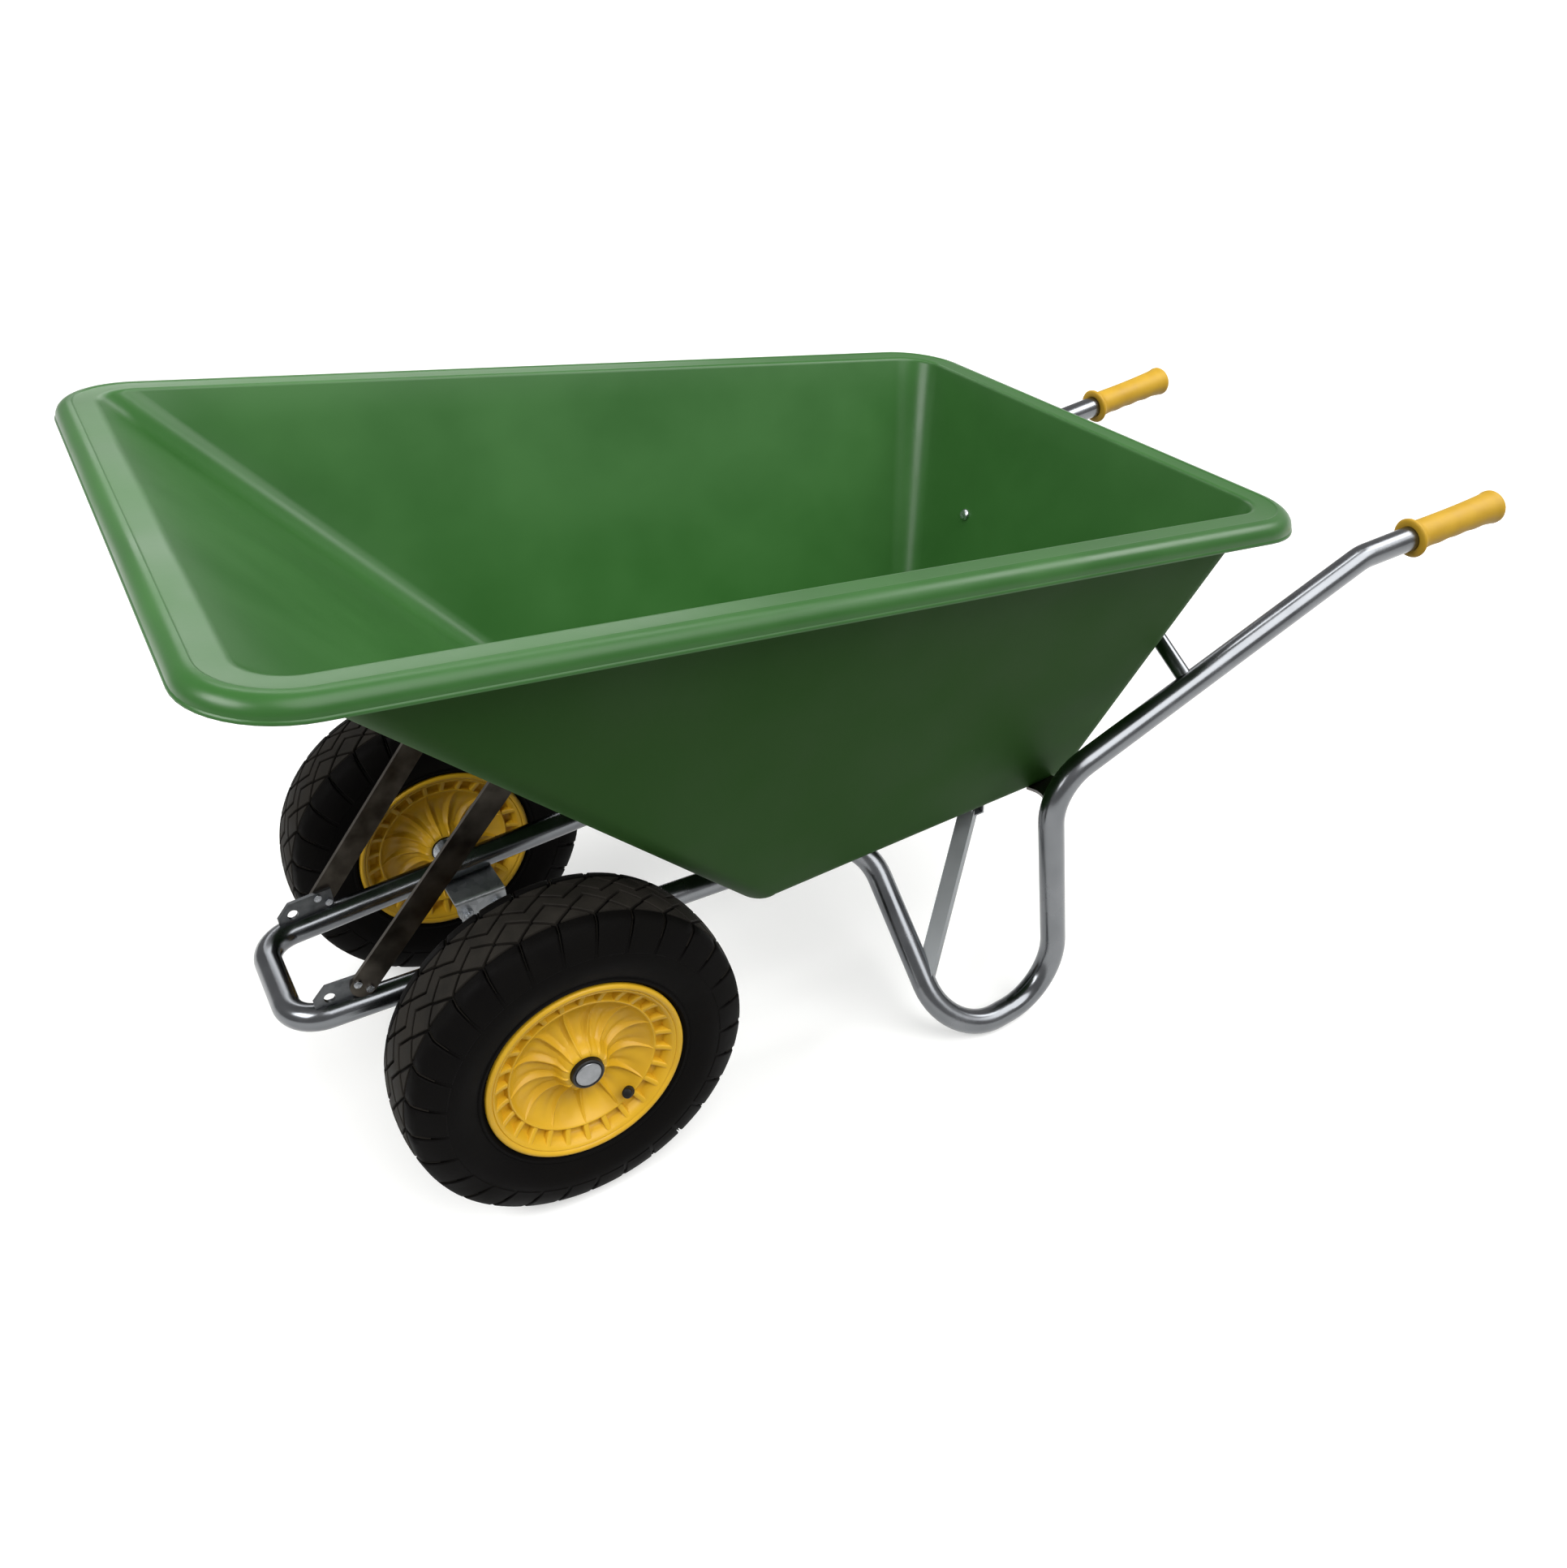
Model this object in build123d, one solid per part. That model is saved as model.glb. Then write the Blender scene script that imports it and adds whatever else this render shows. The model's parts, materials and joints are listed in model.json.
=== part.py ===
from build123d import *
import os
from math import cos, hypot, radians, sin

# A two-wheel garden barrow, in millimetres.
# +X points to the nose, +Y to the left, +Z up. The floor is Z = 0.
# Places along the barrow are first measured from the axle, forward positive.

# Wheels: a pneumatic tyre with its tube on a moulded rim, one on each side.
tyre_radius = 200.0
tyre_width = 116.0
tyre_crown = 11.0
tyre_side_wall = 8.0
wheel_track = 468.0
rim_flange_radius = 116.0
rim_flange_thickness = 6.0
rim_width = 112.0
bead_seat_radius = 101.5
bead_heel_rise = 6.5
bead_heel_depth = 9.0
rim_well_radius = 94.0
rim_well_width = 36.0
hub_radius = 27.0
hub_length = 92.0
tube_skin = 3.0

# Rim dish: a concave web with straight ribs, inside a ring of pockets parted by fins.
# Depths are measured in from the plane of the flange.
rim_skin = 3.5
dish_hub_depth = 16.0
dish_middle_depth = 32.0
dish_middle_radius = 54.0
dish_ring_depth = 18.0
dish_thickness = 6.0
ring_wall_radius = 84.5
ring_wall_depth = 11.0
pocket_depth = 25.0
rib_count = 13
rib_thickness = 4.0
rib_height = 5.0
fin_setback = 1.5

# Valve: a straight stem that leans out of the rim well into the dish.
valve_radius = 4.0
valve_angle = 126.0
valve_root_radius = 112.0
valve_root_offset = 15.0
valve_tip_radius = 74.0
valve_tip_offset = 50.0
valve_cap_radius = 5.0
valve_cap_length = 11.0

# Axle and its bushes.
journal_radius = 10.0
shoulder_radius = 12.0
bush_wall = 4.0
bush_length = 36.0
bush_flange_radius = 20.0
bush_flange_thickness = 3.0
thrust_washer_radius = 18.0
thrust_washer_thickness = 3.0
hub_cap_radius = 15.0
hub_cap_depth = 9.0
hub_cap_wall = 2.0
axle_flange_length = 60.0
axle_flange_height = 27.0
axle_flange_thickness = 6.0

# Frame tubes.
tube_radius = 16.0
tube_wall = 2.0
rail_above_axle = 35.0
nose_reach = 260.0
nose_half_width = 81.0
nose_bend = 42.0
rail_spread = 0.06
rail_joint_back = 340.0
leg_top_back = 459.0
foot_front_back = 465.0
foot_front_half_width = 318.0
foot_rear_back = 644.0
foot_rear_half_width = 305.0
knee_back = 621.0
knee_half_width = 296.0
knee_rise = 103.0
handle_bend_back = 1105.0
handle_bend_half_width = 298.0
handle_bend_rise = 271.0
handle_end_back = 1326.0
handle_end_half_width = 310.0
handle_end_rise = 285.0
tube_bend = 70.0
foot_bend = 77.0
handle_bend = 64.0

# Grips on the handle ends.
grip_length = 150.0
grip_radius = 19.5
grip_end_radius = 22.5
grip_collar_radius = 26.0
grip_collar_thickness = 9.0
grip_end_wall = 9.0

# Tub: a moulded shell with a rolled lip, higher at the front.
tub_wall = 5.0
tub_setback = 62.0
tub_bottom_length = 483.0
tub_bottom_front_half_width = 205.0
tub_bottom_rear_half_width = 195.0
tub_corner_radius = 58.0
tub_bottom_fillet = 36.0
lip_front_reach = 279.0
lip_rear_back = 917.0
lip_front_half_width = 433.0
lip_rear_half_width = 381.0
lip_front_rise = 581.0
lip_rear_rise = 390.0
lip_width = 44.0
lip_drop = 20.0
lip_corner_radius = 88.0
lip_edge_fillet = 19.0

# Lug plates on the nose arms and the flat stays that prop the front wall.
lug_length = 68.0
lug_front_margin = 26.0
lug_thickness = 5.0
lug_height = 25.0
lug_chamfer = 16.0
lug_hole_radius = 6.5
lug_hole_inset = 18.0
lug_hole_rise = 8.5
stay_width = 30.0
stay_thickness = 5.0
stay_start_rise = 13.0
stay_start_inset = 56.0
stay_wall_rise = 249.0
stay_tab_length = 38.0
rivet_radius = 3.0
rivet_head_radius = 4.5
rivet_head_height = 2.0
rivet_spacing = 16.0

# Hanger brackets that carry the axles under the arms.
hanger_length = 66.0
hanger_thickness = 5.0
hanger_drop = 56.0
hanger_half_width = 42.0
hanger_bolt_half_spacing = 20.0
hanger_taper = 9.0
hanger_outboard = 12.0

# Rear bow behind the tub, cross bar under it, leg braces and side gussets.
bow_radius = 10.0
bow_wall = 1.5
bow_rise = 227.0
bow_half_width = 196.0
bow_bend = 40.0
bow_bolt_half_spacing = 144.0
bar_size = 20.0
bar_wall = 2.0
cross_bar_back = 606.0
cross_bar_half_width = 178.0
brace_foot_share = 0.28
brace_top_half_width = 162.0
gusset_thickness = 4.0
gusset_height = 36.0
gusset_drop = 30.0
gusset_flange_length = 16.0
gusset_edge_radius = 60.0

# Fasteners.
bolt_radius = 4.0
bolt_head_radius = 8.5
bolt_head_height = 4.5
hex_across_flats = 13.0
hex_head_height = 5.5
nut_height = 6.5
bolt_washer_radius = 8.5
bolt_washer_thickness = 1.6
bolt_tail = 3.0

# Clearances.
running_clearance = 0.05
press_gap = 0.02
bolt_clearance = 0.4
seat_gap = 0.1
side_clearance = 0.4

# Places worked out from the sizes above.
axle_z = tyre_radius
rail_z = axle_z + rail_above_axle
rail_top_z = rail_z + tube_radius
tub_z = rail_top_z + seat_gap
half_track = wheel_track / 2
hub_half = hub_length / 2
rim_half = rim_width / 2


def from_axle(forward, left, up):
    return Vector(forward, left, up)


def right_of(solid):
    return mirror(solid, about=Plane.XZ)


def across(point):
    return Vector(point.X, -point.Y, point.Z)


def rail_half_width(forward):
    return nose_half_width + rail_spread * (nose_reach - forward)


def rail_point(forward):
    return from_axle(forward, rail_half_width(forward), rail_z)


def bent_tube(points, radii, radius, wall):
    path = FilletPolyline(*points, radius=radii)
    start = Plane(origin=path @ 0, z_dir=path % 0)
    ring = Circle(radius) - Circle(radius - wall)
    return sweep(start * ring, path=path)


def bent_bar(points, radii, radius):
    path = FilletPolyline(*points, radius=radii)
    start = Plane(origin=path @ 0, z_dir=path % 0)
    return sweep(start * Circle(radius), path=path)


def rod(start, end, radius):
    run = end - start
    return extrude(Plane(origin=start, z_dir=run) * Circle(radius), amount=run.length)


def hex_prism(start, direction, height):
    profile = RegularPolygon(hex_across_flats / 2, 6, major_radius=False)
    return extrude(Plane(origin=start, z_dir=direction) * profile, amount=height)


def disc(start, direction, radius, height, bore=0.0):
    profile = Circle(radius)
    if bore > 0:
        profile = profile - Circle(bore)
    return extrude(Plane(origin=start, z_dir=direction) * profile, amount=height)


# Tub

tub_front = -tyre_radius - tub_setback
tub_rear = tub_front - tub_bottom_length
lip_length = hypot(lip_front_reach + lip_rear_back, lip_front_rise - lip_rear_rise)
rim_middle = from_axle((lip_front_reach - lip_rear_back) / 2, 0, tub_z + (lip_front_rise + lip_rear_rise) / 2)
rim_slope = Vector(lip_front_reach + lip_rear_back, 0, lip_front_rise - lip_rear_rise).normalized()
rim_normal = Vector(-rim_slope.Z, 0, rim_slope.X)
rim_plane = Plane(origin=rim_middle, x_dir=rim_slope, z_dir=rim_normal)


def trapezoid(front, front_half, rear, rear_half, radius):
    corners = [(front, front_half), (rear, rear_half), (rear, -rear_half), (front, -front_half)]
    outline = Polygon(*corners, align=None)
    return fillet(outline.vertices(), radius)


def bottom_outline(inset):
    front_half = tub_bottom_front_half_width - inset
    rear_half = tub_bottom_rear_half_width - inset
    outline = trapezoid(tub_front - inset, front_half, tub_rear + inset, rear_half, tub_corner_radius - inset)
    return Plane(origin=from_axle(0, 0, tub_z + inset)) * outline


def rim_outline(inset, radius, lift=0.0):
    front = lip_length / 2 - inset
    outline = trapezoid(front, lip_front_half_width - inset, -front, lip_rear_half_width - inset, radius)
    return rim_plane.offset(lift) * outline


def tub_form(inset):
    top = rim_outline(lip_width - tub_wall + inset, tub_corner_radius - inset)
    form = loft([bottom_outline(inset), top], ruled=True)
    floor_edges = form.faces().sort_by(Axis.Z)[0].edges()
    return fillet(floor_edges, tub_bottom_fillet - inset)


def lip_form():
    block = extrude(rim_outline(0, lip_corner_radius), amount=-lip_drop)
    top_edges = block.faces().sort_by(Axis((0, 0, 0), rim_normal))[-1].edges()
    block = fillet(top_edges, lip_edge_fillet)
    hollow = extrude(rim_outline(tub_wall, lip_corner_radius - tub_wall, -tub_wall), amount=-lip_drop)
    hollow_top = hollow.faces().sort_by(Axis((0, 0, 0), rim_normal))[-1].edges()
    return block - fillet(hollow_top, lip_edge_fillet - tub_wall)


tub_outside = tub_form(0)
tub_inside = tub_form(tub_wall)
mouth = extrude(rim_outline(lip_width, tub_corner_radius - tub_wall), amount=lip_drop)

# The front and rear walls are flat: each is a line in the middle plane.
wall_front_top = rim_plane.from_local_coords((lip_length / 2 - lip_width + tub_wall, 0, 0))
wall_front_low = from_axle(tub_front, 0, tub_z)
wall_rear_top = rim_plane.from_local_coords((-lip_length / 2 + lip_width - tub_wall, 0, 0))
wall_rear_low = from_axle(tub_rear, 0, tub_z)


inner_front_top = rim_plane.from_local_coords((lip_length / 2 - lip_width, 0, 0))
inner_front_low = from_axle(tub_front - tub_wall, 0, tub_z + tub_wall)
inner_rear_top = rim_plane.from_local_coords((-lip_length / 2 + lip_width, 0, 0))
inner_rear_low = from_axle(tub_rear + tub_wall, 0, tub_z + tub_wall)


def point_on_wall(low, top, rise):
    return low + (top - low) * (rise / (top.Z - low.Z))


def wall_depth(point, outward, inner_low, inner_top):
    run = inner_top - inner_low
    across_wall = Vector(run.Z, 0, -run.X)
    return (point - inner_low).dot(across_wall) / outward.dot(across_wall)


front_run = (wall_front_top - wall_front_low).normalized()
front_normal = Vector(front_run.Z, 0, -front_run.X)
rear_run = (wall_rear_top - wall_rear_low).normalized()
rear_normal = Vector(-rear_run.Z, 0, rear_run.X)
stay_foot = point_on_wall(wall_front_low, wall_front_top, stay_wall_rise)
bow_wall_point = point_on_wall(wall_rear_low, wall_rear_top, bow_rise)

# Frame tubes

nose_points = [
    rail_point(-rail_joint_back),
    rail_point(nose_reach),
    across(rail_point(nose_reach)),
    across(rail_point(-rail_joint_back)),
]
leg_points = [
    rail_point(-rail_joint_back),
    rail_point(-leg_top_back),
    from_axle(-foot_front_back, foot_front_half_width, tube_radius),
    from_axle(-foot_rear_back, foot_rear_half_width, tube_radius),
    from_axle(-knee_back, knee_half_width, rail_z + knee_rise),
    from_axle(-handle_bend_back, handle_bend_half_width, rail_z + handle_bend_rise),
    from_axle(-handle_end_back, handle_end_half_width, rail_z + handle_end_rise),
]
leg_radii = [tube_bend, foot_bend, foot_bend, tube_bend, handle_bend]
front_bow_tube = bent_tube(nose_points, nose_bend, tube_radius, tube_wall)
front_bow_solid = bent_bar(nose_points, nose_bend, tube_radius)
left_leg_tube = bent_tube(leg_points, leg_radii, tube_radius, tube_wall)
left_leg_solid = bent_bar(leg_points, leg_radii, tube_radius)

# Grip: turned about the last straight of the handle

handle_start = leg_points[-2]
handle_end = leg_points[-1]
handle_run = (handle_end - handle_start).normalized()
grip_start = handle_end - handle_run * (grip_length - grip_end_wall)
grip_plane = Plane(origin=grip_start, x_dir=Vector(0, 0, 1).cross(handle_run), z_dir=handle_run)


def grip_form():
    bore = tube_radius + press_gap
    with BuildSketch(Plane.XZ) as section:
        with BuildLine():
            collar_top = (grip_collar_radius, grip_collar_thickness / 2)
            body_start = (grip_radius, grip_collar_thickness)
            waist = (grip_radius - 1.0, grip_length * 0.55)
            flare = (grip_end_radius, grip_length - grip_end_wall)
            tip = (grip_end_radius - grip_end_wall, grip_length)
            ThreePointArc((grip_radius, 0), collar_top, body_start)
            ThreePointArc(body_start, waist, flare)
            TangentArc(flare, tip, tangent=(0.1, 1))
            Polyline(tip, (0, grip_length), (0, grip_length - grip_end_wall + seat_gap),
                     (bore, grip_length - grip_end_wall + seat_gap), (bore, 0), (grip_radius, 0))
        make_face()
    return revolve(section.sketch, axis=Axis.Z)


left_grip = grip_plane * grip_form()

# Lug plates and front stays, set in the line of the arm

lug_front = rail_point(nose_reach - lug_front_margin)
arm_run = (rail_point(0) - rail_point(nose_reach)).normalized()
arm_side = arm_run.cross(Vector(0, 0, 1))
lug_plane = Plane(origin=lug_front, x_dir=arm_run, z_dir=arm_side)


def arm_plate(outline, near, thickness):
    return extrude(lug_plane.offset(near) * outline, amount=thickness)


def lug_form():
    top = tube_radius + lug_height
    outline = Polygon((0, 0), (lug_length, 0), (lug_length, top), (lug_chamfer, top), (0, top - lug_chamfer),
                      align=None)
    hole = Pos(lug_hole_inset, tube_radius + lug_hole_rise) * Circle(lug_hole_radius)
    return arm_plate(outline - hole, -lug_thickness / 2, lug_thickness) - front_bow_solid


stay_start = Vector(stay_start_inset, tube_radius + stay_start_rise)
stay_end = Vector((stay_foot.X - lug_front.X) / arm_run.X, stay_foot.Z - rail_z)
stay_near = lug_thickness / 2
stay_tab_inner = lug_plane.from_local_coords((stay_end.X, stay_end.Y, stay_near)).Y
front_bolt_left = stay_tab_inner + stay_thickness + (stay_tab_length - stay_thickness) / 2


def stay_form():
    run = (stay_end - stay_start).normalized()
    side = Vector(-run.Y, run.X) * (stay_width / 2)
    past_wall = stay_end + run * stay_width
    outline = Polygon(stay_start - side, past_wall - side, past_wall + side, stay_start + side, align=None)
    outline = outline + Pos(stay_start) * Circle(stay_width / 2)
    bar = arm_plate(outline, stay_near, stay_thickness) - front_bow_solid - tub_outside
    wall_plane = Plane(origin=stay_foot, x_dir=(0, 1, 0), z_dir=front_normal)
    tab_middle = stay_tab_inner + stay_tab_length / 2
    tab_outline = wall_plane * Pos(tab_middle, 0) * Rectangle(stay_tab_length, stay_width)
    tab = extrude(tab_outline, amount=stay_thickness)
    hole = wall_plane * Pos(front_bolt_left, 0) * Circle(bolt_radius + bolt_clearance)
    kept = bar.solids().sort_by(SortBy.VOLUME)[-1]
    return kept + tab - extrude(hole, amount=stay_thickness)


def stay_rivets():
    run = (stay_end - stay_start).normalized()
    side = Vector(-run.Y, run.X) * (rivet_spacing / 2)
    rivets = []
    for place in (stay_start + side, stay_start - side):
        shank_outline = Pos(place) * Circle(rivet_radius)
        head_outline = Pos(place) * Circle(rivet_head_radius)
        shank = arm_plate(shank_outline, -lug_thickness / 2, lug_thickness + stay_thickness)
        head = arm_plate(head_outline, stay_near + stay_thickness, rivet_head_height)
        tail = arm_plate(head_outline, -lug_thickness / 2, -rivet_head_height)
        rivets.append(shank + head + tail)
    return rivets


left_rivets = stay_rivets()
left_lug = lug_form()
left_stay = stay_form()
for rivet in left_rivets:
    left_lug = left_lug - rivet
    left_stay = left_stay - rivet

# Hanger bracket and stub axle

shelf_top = rail_z - tube_radius - seat_gap
hanger_outer = hanger_half_width + hanger_thickness
axle_face = hanger_outer + axle_flange_thickness
bush_out = hub_half + bush_flange_thickness + side_clearance
shoulder_end = half_track - bush_out - thrust_washer_thickness
journal_end = half_track + bush_out + hub_cap_depth - hub_cap_wall - seat_gap
hanger_bolt_places = [-hanger_bolt_half_spacing, hanger_bolt_half_spacing]


def side_plane(left):
    return Plane(origin=from_axle(0, left, axle_z), x_dir=(1, 0, 0), z_dir=(0, -1, 0))


def hanger_form():
    half = hanger_length / 2
    top = shelf_top - axle_z
    low = top - hanger_drop
    cheek = Polygon((-half, low), (half - hanger_taper, low), (half, top), (-half, top), align=None)
    holes = Sketch() + [Pos(x, 0) * Circle(bolt_radius + bolt_clearance) for x in hanger_bolt_places]
    cheek = extrude(side_plane(hanger_half_width) * (cheek - holes), amount=-hanger_thickness)
    reach = rail_half_width(0) + hanger_outboard - hanger_half_width
    shelf_centre = from_axle(0, hanger_half_width + reach / 2, shelf_top - hanger_thickness / 2)
    shelf = Pos(shelf_centre) * Box(hanger_length, reach, hanger_thickness)
    bracket = cheek + shelf
    bend = bracket.edges().filter_by(Axis.X).sort_by(Axis.Y)
    outer_bend = bend.group_by(Axis.Y)[0].sort_by(Axis.Z)[-1]
    return fillet(outer_bend, hanger_thickness)


def stub_axle_form():
    flange = RectangleRounded(axle_flange_length, axle_flange_height, axle_flange_height / 4)
    holes = Sketch() + [Pos(x, 0) * Circle(bolt_radius + bolt_clearance) for x in hanger_bolt_places]
    flange = extrude(side_plane(hanger_outer) * (flange - holes), amount=-axle_flange_thickness)
    shoulder = rod(from_axle(0, axle_face, axle_z), from_axle(0, shoulder_end, axle_z), shoulder_radius)
    journal = rod(from_axle(0, shoulder_end, axle_z), from_axle(0, journal_end, axle_z), journal_radius)
    return flange + shoulder + journal


def hanger_bolts():
    bolts = []
    nuts = []
    inward = Vector(0, -1, 0)
    for x in hanger_bolt_places:
        head_face = from_axle(x, axle_face, axle_z)
        nut_face = from_axle(x, hanger_half_width, axle_z)
        tail = nut_face + inward * (nut_height + bolt_tail)
        bolts.append(hex_prism(head_face, inward * -1, hex_head_height) + rod(head_face, tail, bolt_radius))
        nut = hex_prism(nut_face, inward, nut_height)
        nuts.append(nut - rod(nut_face, tail, bolt_radius + press_gap))
    return bolts, nuts


left_hanger = hanger_form()
left_stub_axle = stub_axle_form()
left_hanger_bolts, left_hanger_nuts = hanger_bolts()

# Rear bow behind the tub

knee = leg_points[4]
handle_bend_point = leg_points[5]
bow_centre = bow_wall_point + rear_normal * (bow_radius + seat_gap)
bow_corner = Vector(bow_centre.X, bow_half_width, bow_centre.Z)
bow_share = (bow_centre.X - knee.X) / (handle_bend_point.X - knee.X)
bow_foot = knee + (handle_bend_point - knee) * bow_share
bow_points = [bow_foot, bow_corner, across(bow_corner), across(bow_foot)]
right_leg_solid = right_of(left_leg_solid)
rear_bow_tube = bent_tube(bow_points, bow_bend, bow_radius, bow_wall) - left_leg_solid - right_leg_solid


# Tub bolts: domed head inside, washer and nut outside

def tub_bolt(wall_point, outward, depth, clamped):
    inside = wall_point - outward * (depth + seat_gap)
    outside = wall_point + outward * clamped
    nut_face = outside + outward * bolt_washer_thickness
    tail = nut_face + outward * (nut_height + bolt_tail)
    head = disc(inside, outward * -1, bolt_head_radius, bolt_head_height)
    crown = head.faces().sort_by(Axis(inside, outward * -1))[-1].edges()
    head = fillet(crown, bolt_head_height * 0.8)
    washer = disc(outside, outward, bolt_washer_radius, bolt_washer_thickness, bolt_radius + bolt_clearance)
    nut = hex_prism(nut_face, outward, nut_height) - rod(nut_face, tail, bolt_radius + press_gap)
    return head + rod(inside, tail, bolt_radius), washer, nut


rear_clamped = 2 * bow_radius + 2 * seat_gap
front_bolt_point = Vector(stay_foot.X, front_bolt_left, stay_foot.Z)
rear_bolt_point = Vector(bow_wall_point.X, bow_bolt_half_spacing, bow_wall_point.Z)
tub_bolts = []
tub_washers = []
tub_nuts = []
tub_drills = []
front_depth = wall_depth(front_bolt_point, front_normal, inner_front_low, inner_front_top)
rear_depth = wall_depth(rear_bolt_point, rear_normal, inner_rear_low, inner_rear_top)
for wall_point, outward, depth, clamped in (
    (front_bolt_point, front_normal, front_depth, stay_thickness),
    (rear_bolt_point, rear_normal, rear_depth, rear_clamped),
):
    for place in (wall_point, across(wall_point)):
        bolt, washer, nut = tub_bolt(place, outward, depth, clamped)
        tub_bolts.append(bolt)
        tub_washers.append(washer)
        tub_nuts.append(nut)
        drill_start = place - outward * (2 * depth)
        drill = rod(drill_start, place + outward * (2 * clamped), bolt_radius + bolt_clearance)
        tub_drills.append(drill)
        if outward == rear_normal:
            rear_bow_tube = rear_bow_tube - drill

tub = tub_outside + lip_form() - tub_inside - mouth
for drill in tub_drills:
    tub = tub - drill

# Cross bar under the tub, leg braces and side gussets

cross_bar_middle = from_axle(-cross_bar_back, 0, tub_z - seat_gap - bar_size / 2)
cross_bar_plane = Plane(origin=cross_bar_middle, x_dir=(1, 0, 0), z_dir=(0, 1, 0))
bar_square = Rectangle(bar_size, bar_size)
bar_ring = bar_square - Rectangle(bar_size - 2 * bar_wall, bar_size - 2 * bar_wall)
cross_bar = extrude(cross_bar_plane * bar_ring, amount=cross_bar_half_width, both=True)
cross_bar_solid = extrude(cross_bar_plane * bar_square, amount=cross_bar_half_width, both=True)


def brace_form():
    foot = leg_points[2] + (leg_points[1] - leg_points[2]) * brace_foot_share
    top = cross_bar_middle + Vector(0, brace_top_half_width, 0)
    run = top - foot
    brace_plane = Plane(origin=foot, x_dir=run.cross(Vector(0, 0, 1)), z_dir=run)
    strut = extrude(brace_plane * bar_ring, amount=run.length)
    strut = strut - left_leg_solid - cross_bar_solid - tub_outside
    return strut.solids().sort_by(SortBy.VOLUME)[-1]


def gusset_form():
    low = knee.Z - gusset_drop
    middle = low + gusset_height / 2
    skin = tub_form(-gusset_thickness)
    web_centre = Vector(knee.X, knee.Y / 2, middle)
    web = Pos(web_centre) * Box(gusset_thickness, knee.Y, gusset_height)
    gap_middle = (knee.Y + tub_bottom_rear_half_width) / 2
    notch_centre = Vector(knee.X, gap_middle, low - gusset_edge_radius * 0.8)
    through = Vector(gusset_thickness, 0, 0)
    notch = rod(notch_centre - through, notch_centre + through, gusset_edge_radius)
    web = web - notch - left_leg_solid - skin
    web = web.solids().sort_by(Axis.Y)[-1]
    patch = Pos(web_centre) * Box(gusset_flange_length, knee.Y, gusset_height)
    flange = (skin - tub_outside) & patch
    return web + flange


left_brace = brace_form()
left_gusset = gusset_form()

# Wheel: turned about its own axis, local Z outward

bush_bore = journal_radius + running_clearance
bush_radius = bush_bore + bush_wall
hub_bore = bush_radius + press_gap
flange_inner = rim_half - rim_flange_thickness
ring_face = rim_half - rim_flange_thickness / 2
heel_low = flange_inner - bead_heel_depth
heel_radius = bead_seat_radius + bead_heel_rise
flange_root = heel_radius - rim_skin
well_half = rim_well_width / 2
dish_hub = rim_half - dish_hub_depth
dish_middle = rim_half - dish_middle_depth
dish_ring = rim_half - dish_ring_depth
ring_wall_top = rim_half - ring_wall_depth
ring_wall_outer = ring_wall_radius + rim_skin
pocket_floor = rim_half - pocket_depth
pocket_outer = bead_seat_radius - rim_skin
valve_hole = valve_radius + bolt_clearance


def polar(radius, angle):
    return Vector(radius * cos(radians(angle)), radius * sin(radians(angle)))


valve_root = polar(valve_root_radius, valve_angle) + Vector(0, 0, valve_root_offset)
valve_tip = polar(valve_tip_radius, valve_angle) + Vector(0, 0, valve_tip_offset)
valve_run = (valve_tip - valve_root).normalized()


def dish_line(lift):
    hub_end = (hub_radius, 0, dish_hub + lift)
    middle = (dish_middle_radius, 0, dish_middle + lift)
    return ThreePointArc(hub_end, middle, (ring_wall_radius, 0, dish_ring + lift))


def rim_half_form():
    flange_top = ((flange_root + rim_flange_radius) / 2, 0, rim_half)
    outer_edge = [
        (rim_flange_radius, 0, ring_face),
        (rim_flange_radius, 0, flange_inner),
        (heel_radius, 0, flange_inner),
        (bead_seat_radius, 0, heel_low),
        (bead_seat_radius, 0, well_half + rim_skin),
        (rim_well_radius, 0, well_half),
        (rim_well_radius, 0, 0),
        (ring_wall_radius, 0, 0),
        (ring_wall_radius, 0, dish_ring - dish_thickness),
    ]
    pocket_edge = [
        (ring_wall_radius, 0, dish_ring),
        (ring_wall_radius, 0, ring_wall_top),
        (ring_wall_outer, 0, ring_wall_top),
        (ring_wall_outer, 0, pocket_floor),
        (pocket_outer, 0, pocket_floor),
        (pocket_outer, 0, heel_low),
        (flange_root, 0, ring_face),
    ]
    hub_inside = (hub_radius, 0, dish_hub - dish_thickness)
    lines = [
        Polyline((hub_bore, 0, 0), (hub_bore, 0, hub_half), (hub_radius, 0, hub_half), (hub_radius, 0, dish_hub)),
        dish_line(0),
        Polyline(*pocket_edge),
        ThreePointArc(pocket_edge[-1], flange_top, outer_edge[0]),
        Polyline(*outer_edge),
        dish_line(-dish_thickness),
        Polyline(hub_inside, (hub_radius, 0, 0), (hub_bore, 0, 0)),
    ]
    return revolve(make_face(lines), axis=Axis.Z)


def spoke_star(inner, outer, count, first_angle):
    bar = Pos((inner + outer) / 2, 0) * Rectangle(outer - inner, rib_thickness)
    bars = [Rot(0, 0, first_angle + index * 360 / count) * bar for index in range(count)]
    return extrude(Sketch() + bars, amount=rim_half)


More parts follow.
